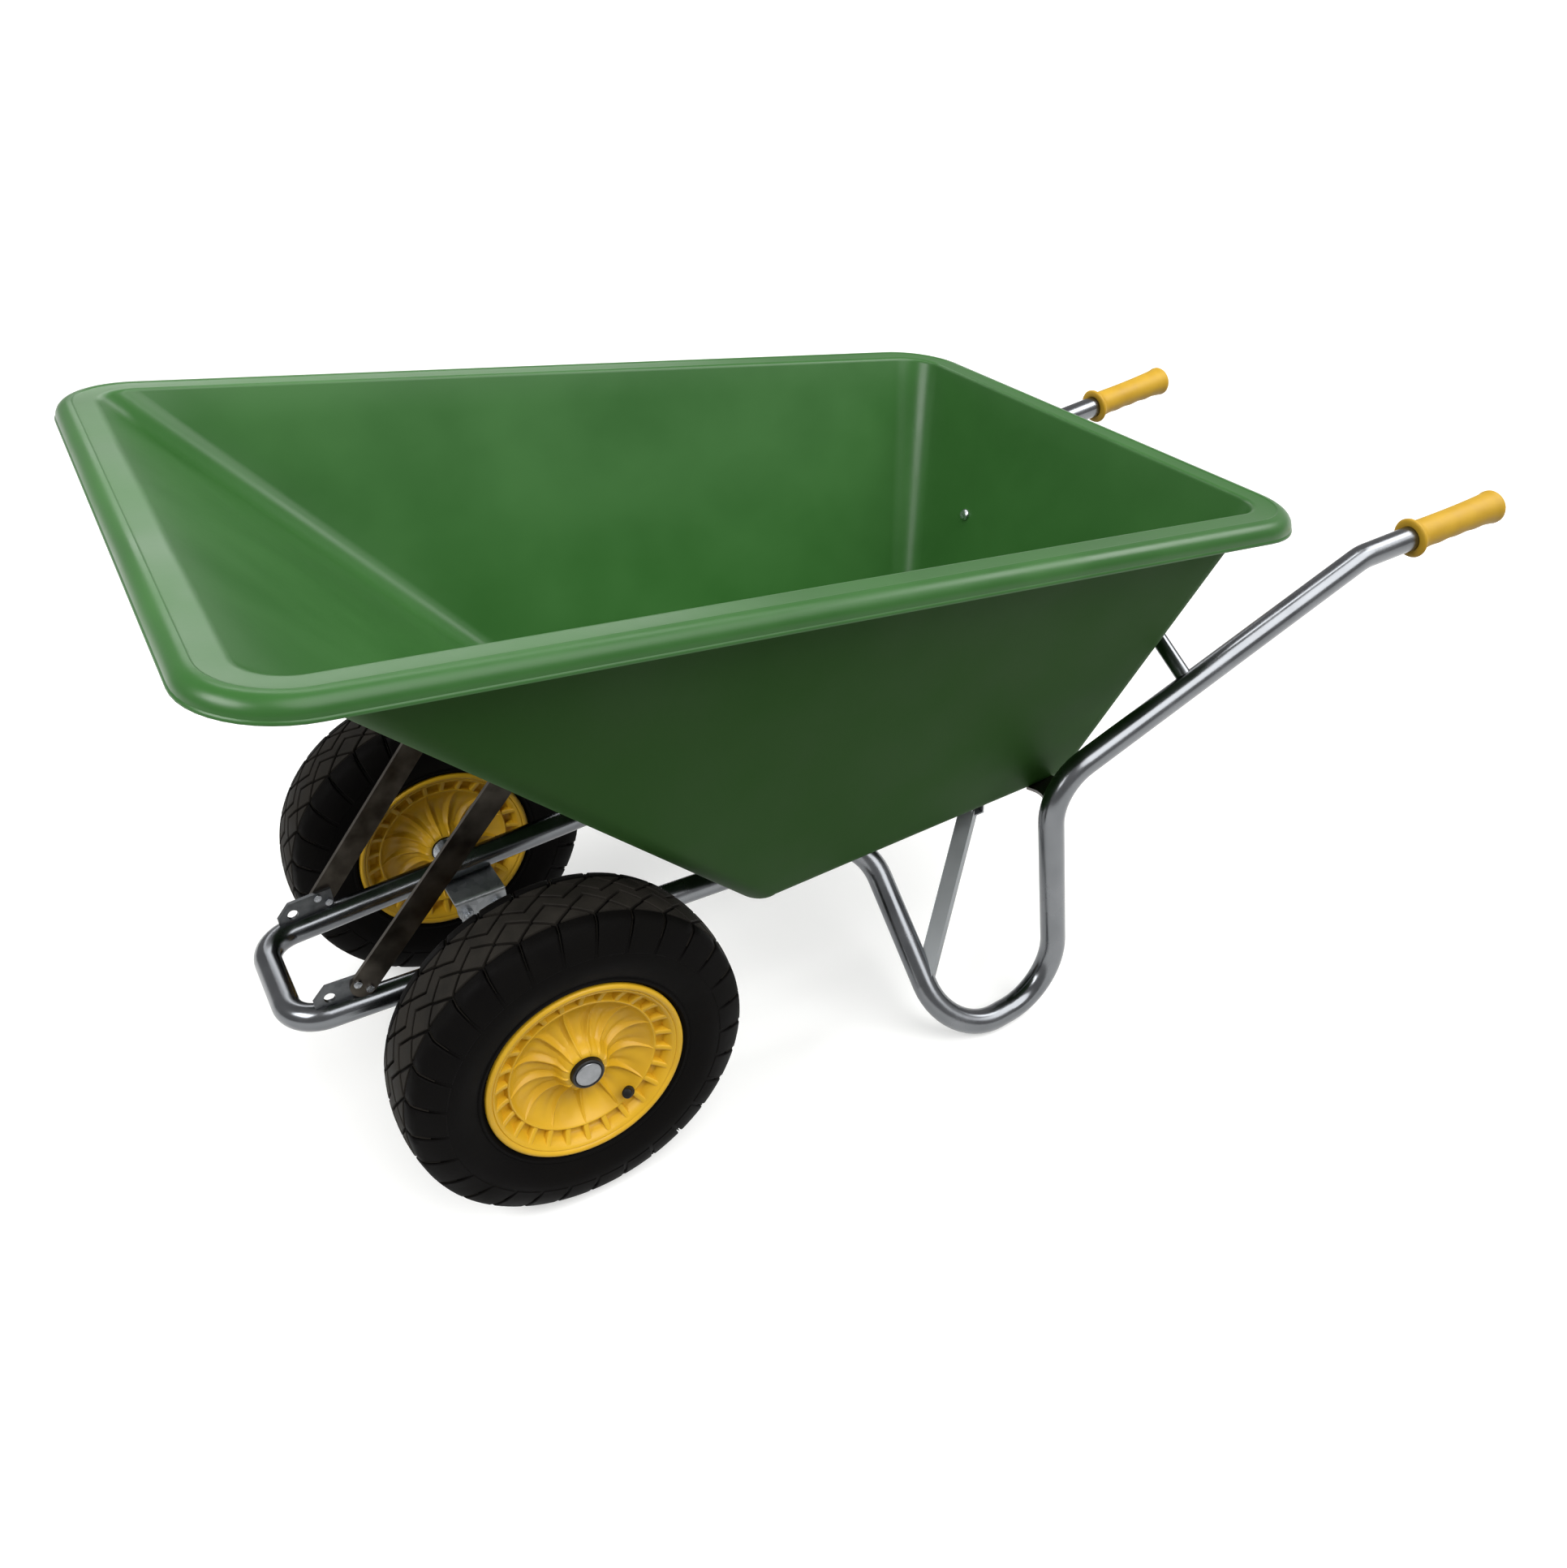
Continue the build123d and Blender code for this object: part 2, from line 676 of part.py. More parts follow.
def rib_forms(first_angle):
    root = dish_middle - dish_thickness / 2
    lines = [
        dish_line(rib_height),
        Polyline((ring_wall_radius, 0, dish_ring + rib_height), (ring_wall_radius, 0, root), (hub_radius, 0, root),
                 (hub_radius, 0, dish_hub + rib_height)),
    ]
    under_ribs = revolve(make_face(lines), axis=Axis.Z)
    fin_low = pocket_floor - rim_skin / 2
    fin_line = Polyline(
        (ring_wall_radius, 0, ring_wall_top - fin_setback),
        (ring_wall_outer, 0, ring_wall_top - fin_setback),
        (flange_root, 0, ring_face - fin_setback),
        (pocket_outer, 0, fin_low),
        (ring_wall_radius, 0, fin_low),
        close=True,
    )
    under_fins = revolve(make_face(fin_line), axis=Axis.Z)
    ribs = spoke_star(hub_radius, ring_wall_radius, rib_count, first_angle) & under_ribs
    fins = spoke_star(ring_wall_radius, flange_root, 2 * rib_count, first_angle) & under_fins
    return ribs, fins


def rim_form():
    ribs, fins = rib_forms(valve_angle + 180 / rib_count)
    half = rim_half_form() + ribs + fins
    valve_way = rod(valve_root, valve_tip, valve_hole)
    return half + mirror(half, about=Plane.XY) - valve_way


tyre_half = tyre_width / 2
bead_face = flange_inner - seat_gap
bead_radius = bead_seat_radius + seat_gap
bulge_radius = (rim_flange_radius + tyre_radius) / 2 - rim_flange_thickness
shoulder_drop = 0.03 * tyre_radius
shoulder_half = 0.74 * tyre_half
cavity_radius = tyre_radius - tyre_crown
cavity_half = tyre_half - tyre_side_wall


def tyre_form():
    crown = (tyre_radius, 0, 0)
    shoulder = (tyre_radius - shoulder_drop, 0, shoulder_half)
    bulge = (bulge_radius, 0, tyre_half)
    rim_top = (rim_flange_radius + seat_gap, 0, bead_face)
    half_shoulder = (tyre_radius - shoulder_drop / 4, 0, shoulder_half / 2)
    cavity_side = (bulge_radius, 0, cavity_half)
    heel = (heel_radius + seat_gap, 0, bead_face)
    heel_foot = (bead_radius, 0, heel_low - seat_gap)
    toe = (bead_radius, 0, heel_low - tyre_side_wall / 2)
    lines = [
        ThreePointArc(crown, half_shoulder, shoulder),
        TangentArc(bulge, shoulder, tangent=(1, 0, 0)),
        TangentArc(bulge, rim_top, tangent=(-1, 0, 0)),
        Polyline(rim_top, heel, heel_foot, toe, (rim_top[0], 0, toe[2])),
        TangentArc(cavity_side, (rim_top[0], 0, toe[2]), tangent=(-1, 0, 0)),
        ThreePointArc(cavity_side, (cavity_radius - 6, 0, cavity_half * 0.68), (cavity_radius, 0, 0)),
        Line((cavity_radius, 0, 0), crown),
    ]
    half = revolve(make_face(lines), axis=Axis.Z)
    return half + mirror(half, about=Plane.XY)


tube_half = cavity_half - tube_skin - seat_gap
tube_top = cavity_radius - seat_gap
tube_low = rim_well_radius + tyre_side_wall
tube_middle = (tube_top + tube_low) / 2
tube_rise = (tube_top - tube_low) / 2


def tube_bulk(grow):
    return revolve(Plane.XZ * Pos(tube_middle, 0) * Ellipse(tube_rise + grow, tube_half + grow), axis=Axis.Z)


def inner_tube_form():
    return tube_bulk(0) - tube_bulk(-tube_skin)


def valve_stem_form():
    return rod(valve_root, valve_tip, valve_radius) - tube_bulk(seat_gap)


def valve_cap_form():
    start = valve_tip - valve_run * (valve_cap_length / 2)
    cap = disc(start, valve_run, valve_cap_radius, valve_cap_length)
    crown = cap.faces().sort_by(Axis(start, valve_run))[-1].edges()
    cap = fillet(crown, valve_cap_radius / 3)
    return cap - disc(start, valve_run, valve_radius + press_gap, valve_cap_length / 2 + seat_gap)


def bush_form(outward):
    face = Vector(0, 0, hub_half * outward)
    axis = Vector(0, 0, outward)
    sleeve = disc(face - axis * bush_length, axis, bush_radius, bush_length, bush_bore)
    flange = disc(face, axis, bush_flange_radius, bush_flange_thickness, bush_bore)
    edge = flange.faces().sort_by(Axis((0, 0, 0), axis))[-1].edges().sort_by(SortBy.RADIUS)[-1]
    return sleeve + fillet(edge, bush_flange_thickness / 3)


def hub_cap_form():
    start = Vector(0, 0, bush_out)
    axis = Vector(0, 0, 1)
    cap = disc(start, axis, hub_cap_radius, hub_cap_depth)
    cap = fillet(cap.faces().sort_by(Axis.Z)[-1].edges(), hub_cap_depth / 3)
    return cap - disc(start, axis, journal_radius + press_gap, hub_cap_depth - hub_cap_wall)


def thrust_washer_form():
    start = Vector(0, 0, -bush_out)
    bore = journal_radius + running_clearance
    return disc(start, Vector(0, 0, -1), thrust_washer_radius, thrust_washer_thickness, bore)


wheel_pieces = {
    "tyre": tyre_form(),
    "inner_tube": inner_tube_form(),
    "rim": rim_form(),
    "outer_bush": bush_form(1),
    "inner_bush": bush_form(-1),
    "valve_stem": valve_stem_form(),
    "valve_cap": valve_cap_form(),
    "hub_cap": hub_cap_form(),
    "thrust_washer": thrust_washer_form(),
}
wheel_planes = {
    "left": Plane(origin=from_axle(0, half_track, axle_z), x_dir=(1, 0, 0), z_dir=(0, 1, 0)),
    "right": Plane(origin=from_axle(0, -half_track, axle_z), x_dir=(1, 0, 0), z_dir=(0, -1, 0)),
}

# Every node, left and right

nodes = {
    "tub": tub,
    "front_bow_tube": front_bow_tube,
    "rear_bow_tube": rear_bow_tube,
    "cross_bar": cross_bar,
    "tub_bolts": Compound(tub_bolts),
    "tub_washers": Compound(tub_washers),
    "tub_nuts": Compound(tub_nuts),
    "stay_rivets": Compound(left_rivets + [right_of(rivet) for rivet in left_rivets]),
    "hanger_bolts": Compound(left_hanger_bolts + [right_of(bolt) for bolt in left_hanger_bolts]),
    "hanger_nuts": Compound(left_hanger_nuts + [right_of(nut) for nut in left_hanger_nuts]),
}
paired = {
    "leg_tube": left_leg_tube,
    "grip": left_grip,
    "lug_plate": left_lug,
    "front_stay": left_stay,
    "hanger_bracket": left_hanger,
    "stub_axle": left_stub_axle,
    "leg_brace": left_brace,
    "side_gusset": left_gusset,
}
for name, solid in paired.items():
    nodes["left_" + name] = solid
    nodes["right_" + name] = right_of(solid)
for side, plane in wheel_planes.items():
    for name, solid in wheel_pieces.items():
        nodes[side + "_" + name] = plane * solid

# The finished barrow is centred over the middle of its length.
boxes = [solid.bounding_box() for solid in nodes.values()]
middle = (min(box.min.X for box in boxes) + max(box.max.X for box in boxes)) / 2
os.makedirs("parts", exist_ok=True)
for name, solid in nodes.items():
    export_step(Pos(-middle, 0, 0) * solid, "parts/" + name + ".step")
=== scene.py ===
"""A two-wheel wheelbarrow in a white studio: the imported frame, dressed with its visible surfaces.

Sizes of the pieces are in millimetres, and their places are measured from the middle of the axle line
on the floor, +X to the nose, +Y to the left and +Z up. The camera, the floor and the lamps are placed
in metres.
"""

import json
import math
from collections import namedtuple

import bmesh
import bpy
from mathutils import Matrix, Vector


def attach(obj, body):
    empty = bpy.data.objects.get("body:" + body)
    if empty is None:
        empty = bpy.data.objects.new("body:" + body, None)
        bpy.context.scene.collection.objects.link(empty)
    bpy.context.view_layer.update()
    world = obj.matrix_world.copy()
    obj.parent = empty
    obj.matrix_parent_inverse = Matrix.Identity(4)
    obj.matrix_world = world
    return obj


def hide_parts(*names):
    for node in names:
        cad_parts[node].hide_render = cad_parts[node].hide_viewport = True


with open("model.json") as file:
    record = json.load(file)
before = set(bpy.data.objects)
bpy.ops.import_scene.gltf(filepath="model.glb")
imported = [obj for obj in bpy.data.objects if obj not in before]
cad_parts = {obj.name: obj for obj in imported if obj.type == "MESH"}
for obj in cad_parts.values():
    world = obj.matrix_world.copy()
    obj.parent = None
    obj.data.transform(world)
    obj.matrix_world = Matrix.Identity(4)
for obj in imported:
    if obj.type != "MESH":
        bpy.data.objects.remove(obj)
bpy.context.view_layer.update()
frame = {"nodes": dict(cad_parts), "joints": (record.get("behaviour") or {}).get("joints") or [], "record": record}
nodes = frame["nodes"]
hinges = {joint["child"]: Vector(joint["pos_m"]) for joint in frame["joints"]}
axle_x = hinges["left_wheel"].x
MM = 0.001
TURN = 2 * math.pi
SIDES = (("left", 1), ("right", -1))

# Sizes that the visible pieces share with the solids

tyre_radius = 200.0
shoulder_drop = 0.03 * tyre_radius
bulge_radius = 152.0
flange_radius = 116.0
flange_inner = 50.0
bead_seat_radius = 101.5
heel_radius = 108.0
heel_low = 41.0
well_radius = 94.0
well_half = 18.0
hub_radius = 27.0
hub_half = 46.0
hub_bore = 14.07
ring_wall_radius = 84.5
rib_count = 13
valve_angle = math.radians(126.0)

tub_z = 251.1
tub_wall = 5.0
tub_front = -262.0
tub_rear = -745.0
tub_front_half = 205.0
tub_rear_half = 195.0
tub_fillet = 36.0
lip_front = 279.0
lip_rear = -917.0
lip_front_half = 433.0
lip_rear_half = 381.0
lip_front_rise = 581.0
lip_rear_rise = 390.0
lip_width = 44.0
lip_corner = 88.0

handle_bend = Vector((-1105.0, 298.0, 506.0))
handle_end = Vector((-1326.0, 310.0, 520.0))
tube_radius = 16.0
grip_length = 150.0
grip_end_wall = 9.0
grip_radius = 19.5
grip_end_radius = 22.5
grip_collar_radius = 26.0
grip_collar = 9.0


# Colours, shader nodes and materials

patch_detail = 4.0
grain_detail = 2.0
noise_low = 0.3
noise_high = 0.7

Surface = namedtuple("Surface", "material tree shader place")


def linear(code):
    """An sRGB hex colour as linear RGBA."""
    parts = [int(code[i : i + 2], 16) / 255 for i in (1, 3, 5)]
    return (*[p / 12.92 if p <= 0.04045 else ((p + 0.055) / 1.055) ** 2.4 for p in parts], 1.0)


def per_metre(size):
    """The texture scale that gives features of this size in millimetres."""
    return 1000 / size


def add(tree, kind, links=None, **settings):
    """One node in a tree, with its settings and its input values or links."""
    node = tree.nodes.new(kind)
    for name, value in settings.items():
        setattr(node, name, value)
    for name, value in (links or {}).items():
        socket = node.inputs[name]
        if isinstance(value, bpy.types.NodeSocket):
            tree.links.new(value, socket)
        else:
            socket.default_value = value
    return node


def new_surface(name, colour, roughness, metallic=0.0, ior=1.5, sheen=0.5):
    """A material with a Principled shader set to plain values, and Object coordinates for its patterns."""
    material = bpy.data.materials.new(name)
    material.use_nodes = True
    tree = material.node_tree
    tree.nodes.clear()
    shader = add(tree, "ShaderNodeBsdfPrincipled", {"Base Color": linear(colour), "Roughness": roughness})
    shader.inputs["Metallic"].default_value = metallic
    if metallic < 1:
        shader.inputs["IOR"].default_value = ior
        shader.inputs["Specular IOR Level"].default_value = sheen
    add(tree, "ShaderNodeOutputMaterial", {"Surface": shader.outputs["BSDF"]})
    place = add(tree, "ShaderNodeTexCoord").outputs["Object"]
    return Surface(material, tree, shader, place)


def mottle(surface, size, colours, roughness):
    """Soft patches of this size between two colours and two roughnesses."""
    tree = surface.tree
    pattern = {"Vector": surface.place, "Scale": per_metre(size), "Detail": patch_detail}
    patches = add(tree, "ShaderNodeTexNoise", pattern)
    span = {"Value": patches.outputs["Fac"], "From Min": noise_low, "From Max": noise_high}
    share = add(tree, "ShaderNodeMapRange", span)
    ends = {"Factor": share.outputs["Result"], "A": linear(colours[0]), "B": linear(colours[1])}
    tint = add(tree, "ShaderNodeMix", ends, data_type="RGBA")
    tree.links.new(tint.outputs["Result"], surface.shader.inputs["Base Color"])
    gloss = add(tree, "ShaderNodeMapRange", span | {"To Min": roughness[0], "To Max": roughness[1]})
    tree.links.new(gloss.outputs["Result"], surface.shader.inputs["Roughness"])


def grain(surface, size, height):
    """A fine bump of this size and height in millimetres, drawn coarser than life where it wouldn't show."""
    tree = surface.tree
    pattern = {"Vector": surface.place, "Scale": per_metre(size), "Detail": grain_detail}
    dots = add(tree, "ShaderNodeTexNoise", pattern)
    relief = {"Height": dots.outputs["Fac"], "Distance": height * MM, "Strength": 1.0}
    bump = add(tree, "ShaderNodeBump", relief)
    tree.links.new(bump.outputs["Normal"], surface.shader.inputs["Normal"])


def green_polyethylene():
    """Inside and lip of the moulded tub: satin green, faintly cloudy, with the mould's soft orange peel."""
    surface = new_surface("satin_moulded_polyethylene", "#2b5723", 0.34, ior=1.51, sheen=0.3)
    mottle(surface, size=140, colours=("#285321", "#2e5b26"), roughness=(0.28, 0.4))
    grain(surface, size=9, height=0.05)
    return surface.material


def matt_polyethylene_painted_shade():
    """Outside of the tub: the inside's green made darker as painted shade on the outer walls, and dulled by the
    fine grain of the mould.
    """
    surface = new_surface("grained_polyethylene_painted_shade", "#284a1b", 0.62, ior=1.51, sheen=0.08)
    mottle(surface, size=140, colours=("#264719", "#2a4d1e"), roughness=(0.56, 0.68))
    grain(surface, size=2, height=0.04)
    return surface.material


def galvanised_tube():
    """Zinc on drawn tube: a mirror made uneven by faint cloudy patches, its colour darkened as painted shade in
    its reflections of dark surroundings.
    """
    surface = new_surface("galvanised_drawn_tube_painted_shade", "#6f7174", 0.25, metallic=1.0)
    mottle(surface, size=60, colours=("#686a6d", "#77797c"), roughness=(0.18, 0.3))
    grain(surface, size=14, height=0.02)
    return surface.material


def galvanised_plate():
    """Hot-dip zinc on pressed plate: dull grey with the patchwork of zinc crystals."""
    surface = new_surface("hot_dip_galvanised_plate", "#a9adb0", 0.42, metallic=1.0)
    tree = surface.tree
    crystal_size = 9.0
    pattern = {"Vector": surface.place, "Scale": per_metre(crystal_size)}
    crystals = add(tree, "ShaderNodeTexVoronoi", pattern)
    value = add(tree, "ShaderNodeSeparateColor", {"Color": crystals.outputs["Color"]})
    ends = {"Factor": value.outputs["Red"], "A": linear("#9a9ea2"), "B": linear("#b9bcbf")}
    tint = add(tree, "ShaderNodeMix", ends, data_type="RGBA")
    tree.links.new(tint.outputs["Result"], surface.shader.inputs["Base Color"])
    return surface.material


def dark_dull_plate():
    """Lug plates: the same zinc, darker and duller."""
    surface = new_surface("dark_dull_zinc_plate", "#56585a", 0.4, metallic=1.0)
    mottle(surface, size=12, colours=("#4b4d4f", "#646668"), roughness=(0.34, 0.46))
    return surface.material


def dull_zinc_bar():
    """Braces and cross bar: zinc on flat bar, brushed so dull that it takes an even grey."""
    surface = new_surface("dull_zinc_flat_bar", "#96999b", 0.62, metallic=1.0)
    mottle(surface, size=30, colours=("#909395", "#9c9fa1"), roughness=(0.56, 0.68))
    return surface.material


def dark_flat_bar():
    """Rolled flat bar with a brownish mill skin: darker and duller than the tubes."""
    surface = new_surface("dark_rolled_flat_bar", "#4f4a43", 0.4, metallic=1.0)
    mottle(surface, size=25, colours=("#443f39", "#5a554e"), roughness=(0.32, 0.48))
    return surface.material


def turned_steel():
    """Bare turned steel of the axles: a pale grey shine, seen only between wheel and bracket."""
    surface = new_surface("turned_axle_steel", "#a5a6a8", 0.3, metallic=1.0)
    mottle(surface, size=20, colours=("#96989a", "#b0b1b3"), roughness=(0.24, 0.38))
    return surface.material


def zinc_fastener():
    """Electroplated bolts and nuts: small, bright and slightly blue."""
    surface = new_surface("zinc_plated_fastener", "#c2c6cb", 0.24, metallic=1.0)
    mottle(surface, size=6, colours=("#b3b8be", "#cfd2d6"), roughness=(0.18, 0.32))
    return surface.material


def tyre_rubber():
    """Moulded tyre: black, slightly brown with dust where it is rough."""
    surface = new_surface("moulded_tyre_rubber", "#0a0908", 0.6, ior=1.52, sheen=0.03)
    mottle(surface, size=45, colours=("#080707", "#0d0c0b"), roughness=(0.5, 0.68))
    grain(surface, size=2.5, height=0.08)
    return surface.material


def tread_rubber():
    """Tread blocks: the same rubber, rubbed dull by the ground, and paler: partly dust, partly painted light where
    the crown faces up.
    """
    surface = new_surface("scuffed_tread_rubber_painted_light", "#23201d", 0.7, ior=1.52, sheen=0.08)
    mottle(surface, size=30, colours=("#1d1b18", "#292622"), roughness=(0.6, 0.78))
    grain(surface, size=2.0, height=0.1)
    return surface.material


def tube_rubber():
    """Butyl rubber of the inner tube and its valve: smooth and black, with a faint shine."""
    surface = new_surface("butyl_tube_rubber", "#121212", 0.45, ior=1.53)
    mottle(surface, size=15, colours=("#0e0e0e", "#171717"), roughness=(0.4, 0.52))
    return surface.material


def yellow_polypropylene():
    """Injection-moulded rim: clear yellow with a soft gloss."""
    surface = new_surface("moulded_yellow_polypropylene", "#d0a221", 0.38, ior=1.49, sheen=0.3)
    mottle(surface, size=40, colours=("#cb9d1d", "#d5a826"), roughness=(0.32, 0.44))
    grain(surface, size=3, height=0.02)
    return surface.material


def yellow_grip():
    """Dipped soft PVC on the handles: warm yellow and nearly matt."""
    surface = new_surface("soft_yellow_pvc", "#ae881a", 0.52, ior=1.53, sheen=0.3)
    mottle(surface, size=30, colours=("#a88216", "#b48e1f"), roughness=(0.46, 0.6))
    grain(surface, size=1.2, height=0.03)
    return surface.material


def black_nylon():
    """Moulded bushes: black with a dull shine."""
    surface = new_surface("moulded_black_nylon", "#111111", 0.4, ior=1.53, sheen=0.25)
    mottle(surface, size=10, colours=("#0d0d0d", "#171717"), roughness=(0.34, 0.48))
    return surface.material


def cap_steel():
    """Pressed hub caps: dull grey metal."""
    surface = new_surface("pressed_cap_steel", "#85878a", 0.42, metallic=1.0)
    mottle(surface, size=8, colours=("#7b7d80", "#8f9194"), roughness=(0.36, 0.5))
    return surface.material


def cap_plastic():
    """Black plastic of the valve caps, with little shine."""
    surface = new_surface("black_cap_plastic", "#0b0b0b", 0.5, sheen=0.2)
    mottle(surface, size=5, colours=("#080808", "#0f0f0f"), roughness=(0.44, 0.56))
    return surface.material


finishes = {
    "tub_plastic": green_polyethylene(),
    "galvanised_tube": galvanised_tube(),
    "galvanised_plate": galvanised_plate(),
    "dark_steel": dark_flat_bar(),
    "axle_steel": turned_steel(),
    "zinc_fasteners": zinc_fastener(),
    "grip_rubber": yellow_grip(),
    "tyre": tyre_rubber(),
    "tube_rubber": tube_rubber(),
    "rim_plastic": yellow_polypropylene(),
    "bush_plastic": black_nylon(),
    "cap_steel": cap_steel(),
    "cap_plastic": cap_plastic(),
}
for part in frame["record"]["subparts"]:
    slots = nodes[part["node"]].data.materials
    slots.clear()
    slots.append(finishes[part["material_slot"]])
lug_finish = dark_dull_plate()
bar_finish = dull_zinc_bar()
for side_name, _ in SIDES:
    nodes[side_name + "_lug_plate"].data.materials[0] = lug_finish
    nodes[side_name + "_leg_brace"].data.materials[0] = bar_finish
nodes["cross_bar"].data.materials[0] = bar_finish
tread_finish = tread_rubber()
tub_outside = matt_polyethylene_painted_shade()


# Meshes

weld_distance = 1e-6


def skin(rings, loop=False):
    """Points and faces of a surface through rings of points. A ring of one point is a pole."""
    points = []
    numbered = []
    for ring in rings:
        numbered.append(range(len(points), len(points) + len(ring)))
        points.extend(ring)
    size = max(len(ring) for ring in rings)
    faces = []
    following = numbered[1:] + numbered[:1] if loop else numbered[1:]
    for lower, upper in zip(numbered, following):
        for i in range(size):
            j = (i + 1) % size
            corners = [ring[k % len(ring)] for ring, k in ((lower, i), (lower, j), (upper, j), (upper, i))]
            faces.append(list(dict.fromkeys(corners)))
    return points, faces


def bar(rings):
    """A surface through rings of points, with both ends covered."""
    points, faces = skin(rings)
    size = len(rings[0])
    return points, [list(range(size)), list(range(len(points) - size, len(points)))] + faces


def lathe(profile, steps, loop=True):
    """Rings of a profile of (radius, height) turned about Z."""
    rings = []
    for radius, height in profile:
        if radius == 0:
            rings.append([(0, 0, height)])
            continue
        angles = [TURN * step / steps for step in range(steps)]
        rings.append([(radius * math.cos(a), radius * math.sin(a), height) for a in angles])
    return skin(rings, loop)


def both_sides(half):
    """A section from its left half, whose points begin with the distance across."""
    return half + [(-across, height) for across, height in half[::-1]]


def merged(parts):
    """Several sets of points and faces as one."""
    points = []
    faces = []
    for more_points, more_faces in parts:
        faces += [[index + len(points) for index in face] for face in more_faces]
        points += more_points
    return points, faces


def finish_mesh(mesh, crease):
    """Faces turned outward, shaded smooth, with edges sharper than the crease in degrees left hard."""
    work = bmesh.new()
    work.from_mesh(mesh)
    bmesh.ops.remove_doubles(work, verts=work.verts, dist=weld_distance)
    bmesh.ops.recalc_face_normals(work, faces=work.faces)
    work.to_mesh(mesh)
    work.free()
    mesh.shade_smooth()
    mesh.set_sharp_from_angle(angle=math.radians(crease))


def add_object(name, data):
    """An object in the scene."""
    thing = bpy.data.objects.new(name, data)
    bpy.context.scene.collection.objects.link(thing)
    return thing


def add_piece(name, points, faces, material):
    """An object from points in millimetres, with its place in the mesh."""
    mesh = bpy.data.meshes.new(name)
    mesh.from_pydata([Vector(point) * MM for point in points], [], faces)
    mesh.materials.append(material)
    return add_object(name, mesh)


def as_mesh(piece, crease):
    """The finished mesh of a helper object, which is removed."""
    mesh = piece.data
    bpy.data.objects.remove(piece)
    finish_mesh(mesh, crease)
    return mesh


def from_axle(points):
    """Points measured from the axle, moved into the frame of the solids."""
    return [Vector((x + axle_x / MM, y, z)) for x, y, z in points]


def dress(thing, body, slot, *replaced):
    """Ties a piece to its body and hides the solids it is shown for; the slot is not used."""
    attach(thing, body)
    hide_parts(*replaced)


def ring_pattern():
    """A tree that repeats one piece round a body's own axis and joins it to the body."""
    tree = bpy.data.node_groups.new("ring_pattern", "GeometryNodeTree")
    sockets = tree.interface
    sockets.new_socket("Body", in_out="INPUT", socket_type="NodeSocketGeometry")
    sockets.new_socket("Piece", in_out="INPUT", socket_type="NodeSocketObject")
    sockets.new_socket("Count", in_out="INPUT", socket_type="NodeSocketInt")
    sockets.new_socket("Surface", in_out="INPUT", socket_type="NodeSocketMaterial")
    sockets.new_socket("Joined", in_out="OUTPUT", socket_type="NodeSocketGeometry")
    given = add(tree, "NodeGroupInput").outputs
    piece = add(tree, "GeometryNodeObjectInfo", {"Object": given["Piece"]})
    places = add(tree, "GeometryNodeMeshLine", {"Count": given["Count"], "Offset": (0, 0, 0)})
    index = add(tree, "GeometryNodeInputIndex")
    pitch = add(tree, "ShaderNodeMath", {0: TURN, 1: given["Count"]}, operation="DIVIDE")
    angle = add(tree, "ShaderNodeMath", {0: index.outputs[0], 1: pitch.outputs[0]}, operation="MULTIPLY")
    euler = add(tree, "ShaderNodeCombineXYZ", {"Z": angle.outputs[0]})
    turn = add(tree, "FunctionNodeEulerToRotation", {0: euler.outputs[0]})
    copies = add(
        tree,
        "GeometryNodeInstanceOnPoints",
        {"Points": places.outputs[0], "Instance": piece.outputs["Geometry"], "Rotation": turn.outputs[0]},
    )
    real = add(tree, "GeometryNodeRealizeInstances", {"Geometry": copies.outputs[0]})
    painted = {"Geometry": real.outputs[0], "Material": given["Surface"]}
    coloured = add(tree, "GeometryNodeSetMaterial", painted)
    joined = add(tree, "GeometryNodeJoinGeometry", {"Geometry": coloured.outputs[0]})
    tree.links.new(given["Body"], joined.inputs["Geometry"])
    add(tree, "NodeGroupOutput", {"Joined": joined.outputs[0]})
    return tree


ring_tree = ring_pattern()


def repeat_round(body, piece, count, material):
    """The body's mesh with the piece repeated round it, as a plain mesh; both helpers are removed."""
    modifier = body.modifiers.new("pattern", "NODES")
    modifier.node_group = ring_tree
    values = {"Piece": piece, "Count": count, "Surface": material}
    for item in ring_tree.interface.items_tree:
        if item.in_out == "INPUT" and item.name in values:
            modifier[item.identifier] = values[item.name]
    shown = body.evaluated_get(bpy.context.evaluated_depsgraph_get())
    mesh = bpy.data.meshes.new_from_object(shown)
    body.modifiers.remove(modifier)
    for helper in (piece, body):
        bpy.data.objects.remove(helper)
    return mesh


# Tub: rings carried from the inner floor up the wall, over the lip and down the outside

floor_corner = 34.0
flat_corner = 1.5
mouth_corner = 46.0
edge_round = 5.0
outside_shortfall = 9.0
edge_steps = 5
corner_steps = 12
side_steps = 24
fillet_steps = 8
wall_steps = 12
roll_steps = 10
roll_width = 18.0
roll_rise = 1.0
roll_height = 17.0
roll_wall = 3.5
skirt_wall = 1.5

# Points of the lip's section, as distance in from its edge and height over the plane of the rim
strip_crease = [(20.6, 0.0), (19.4, 0.2), (18.6, 0.6)]
skirt_bead = [(-1.0, -17.0), (-1.4, -18.0), (-1.2, -19.6), (0.4, -20.4), (roll_wall, -20.0)]
strip_underside = [(34.0, -4.6), (37.4, -5.6)]

rim_slope = Vector((lip_front - lip_rear, 0, lip_front_rise - lip_rear_rise)).normalized()
rim_normal = Vector((-rim_slope.z, 0, rim_slope.x))
rim_middle = Vector(((lip_front + lip_rear) / 2, 0, tub_z + (lip_front_rise + lip_rear_rise) / 2))
lip_length = Vector((lip_front - lip_rear, lip_front_rise - lip_rear_rise)).length


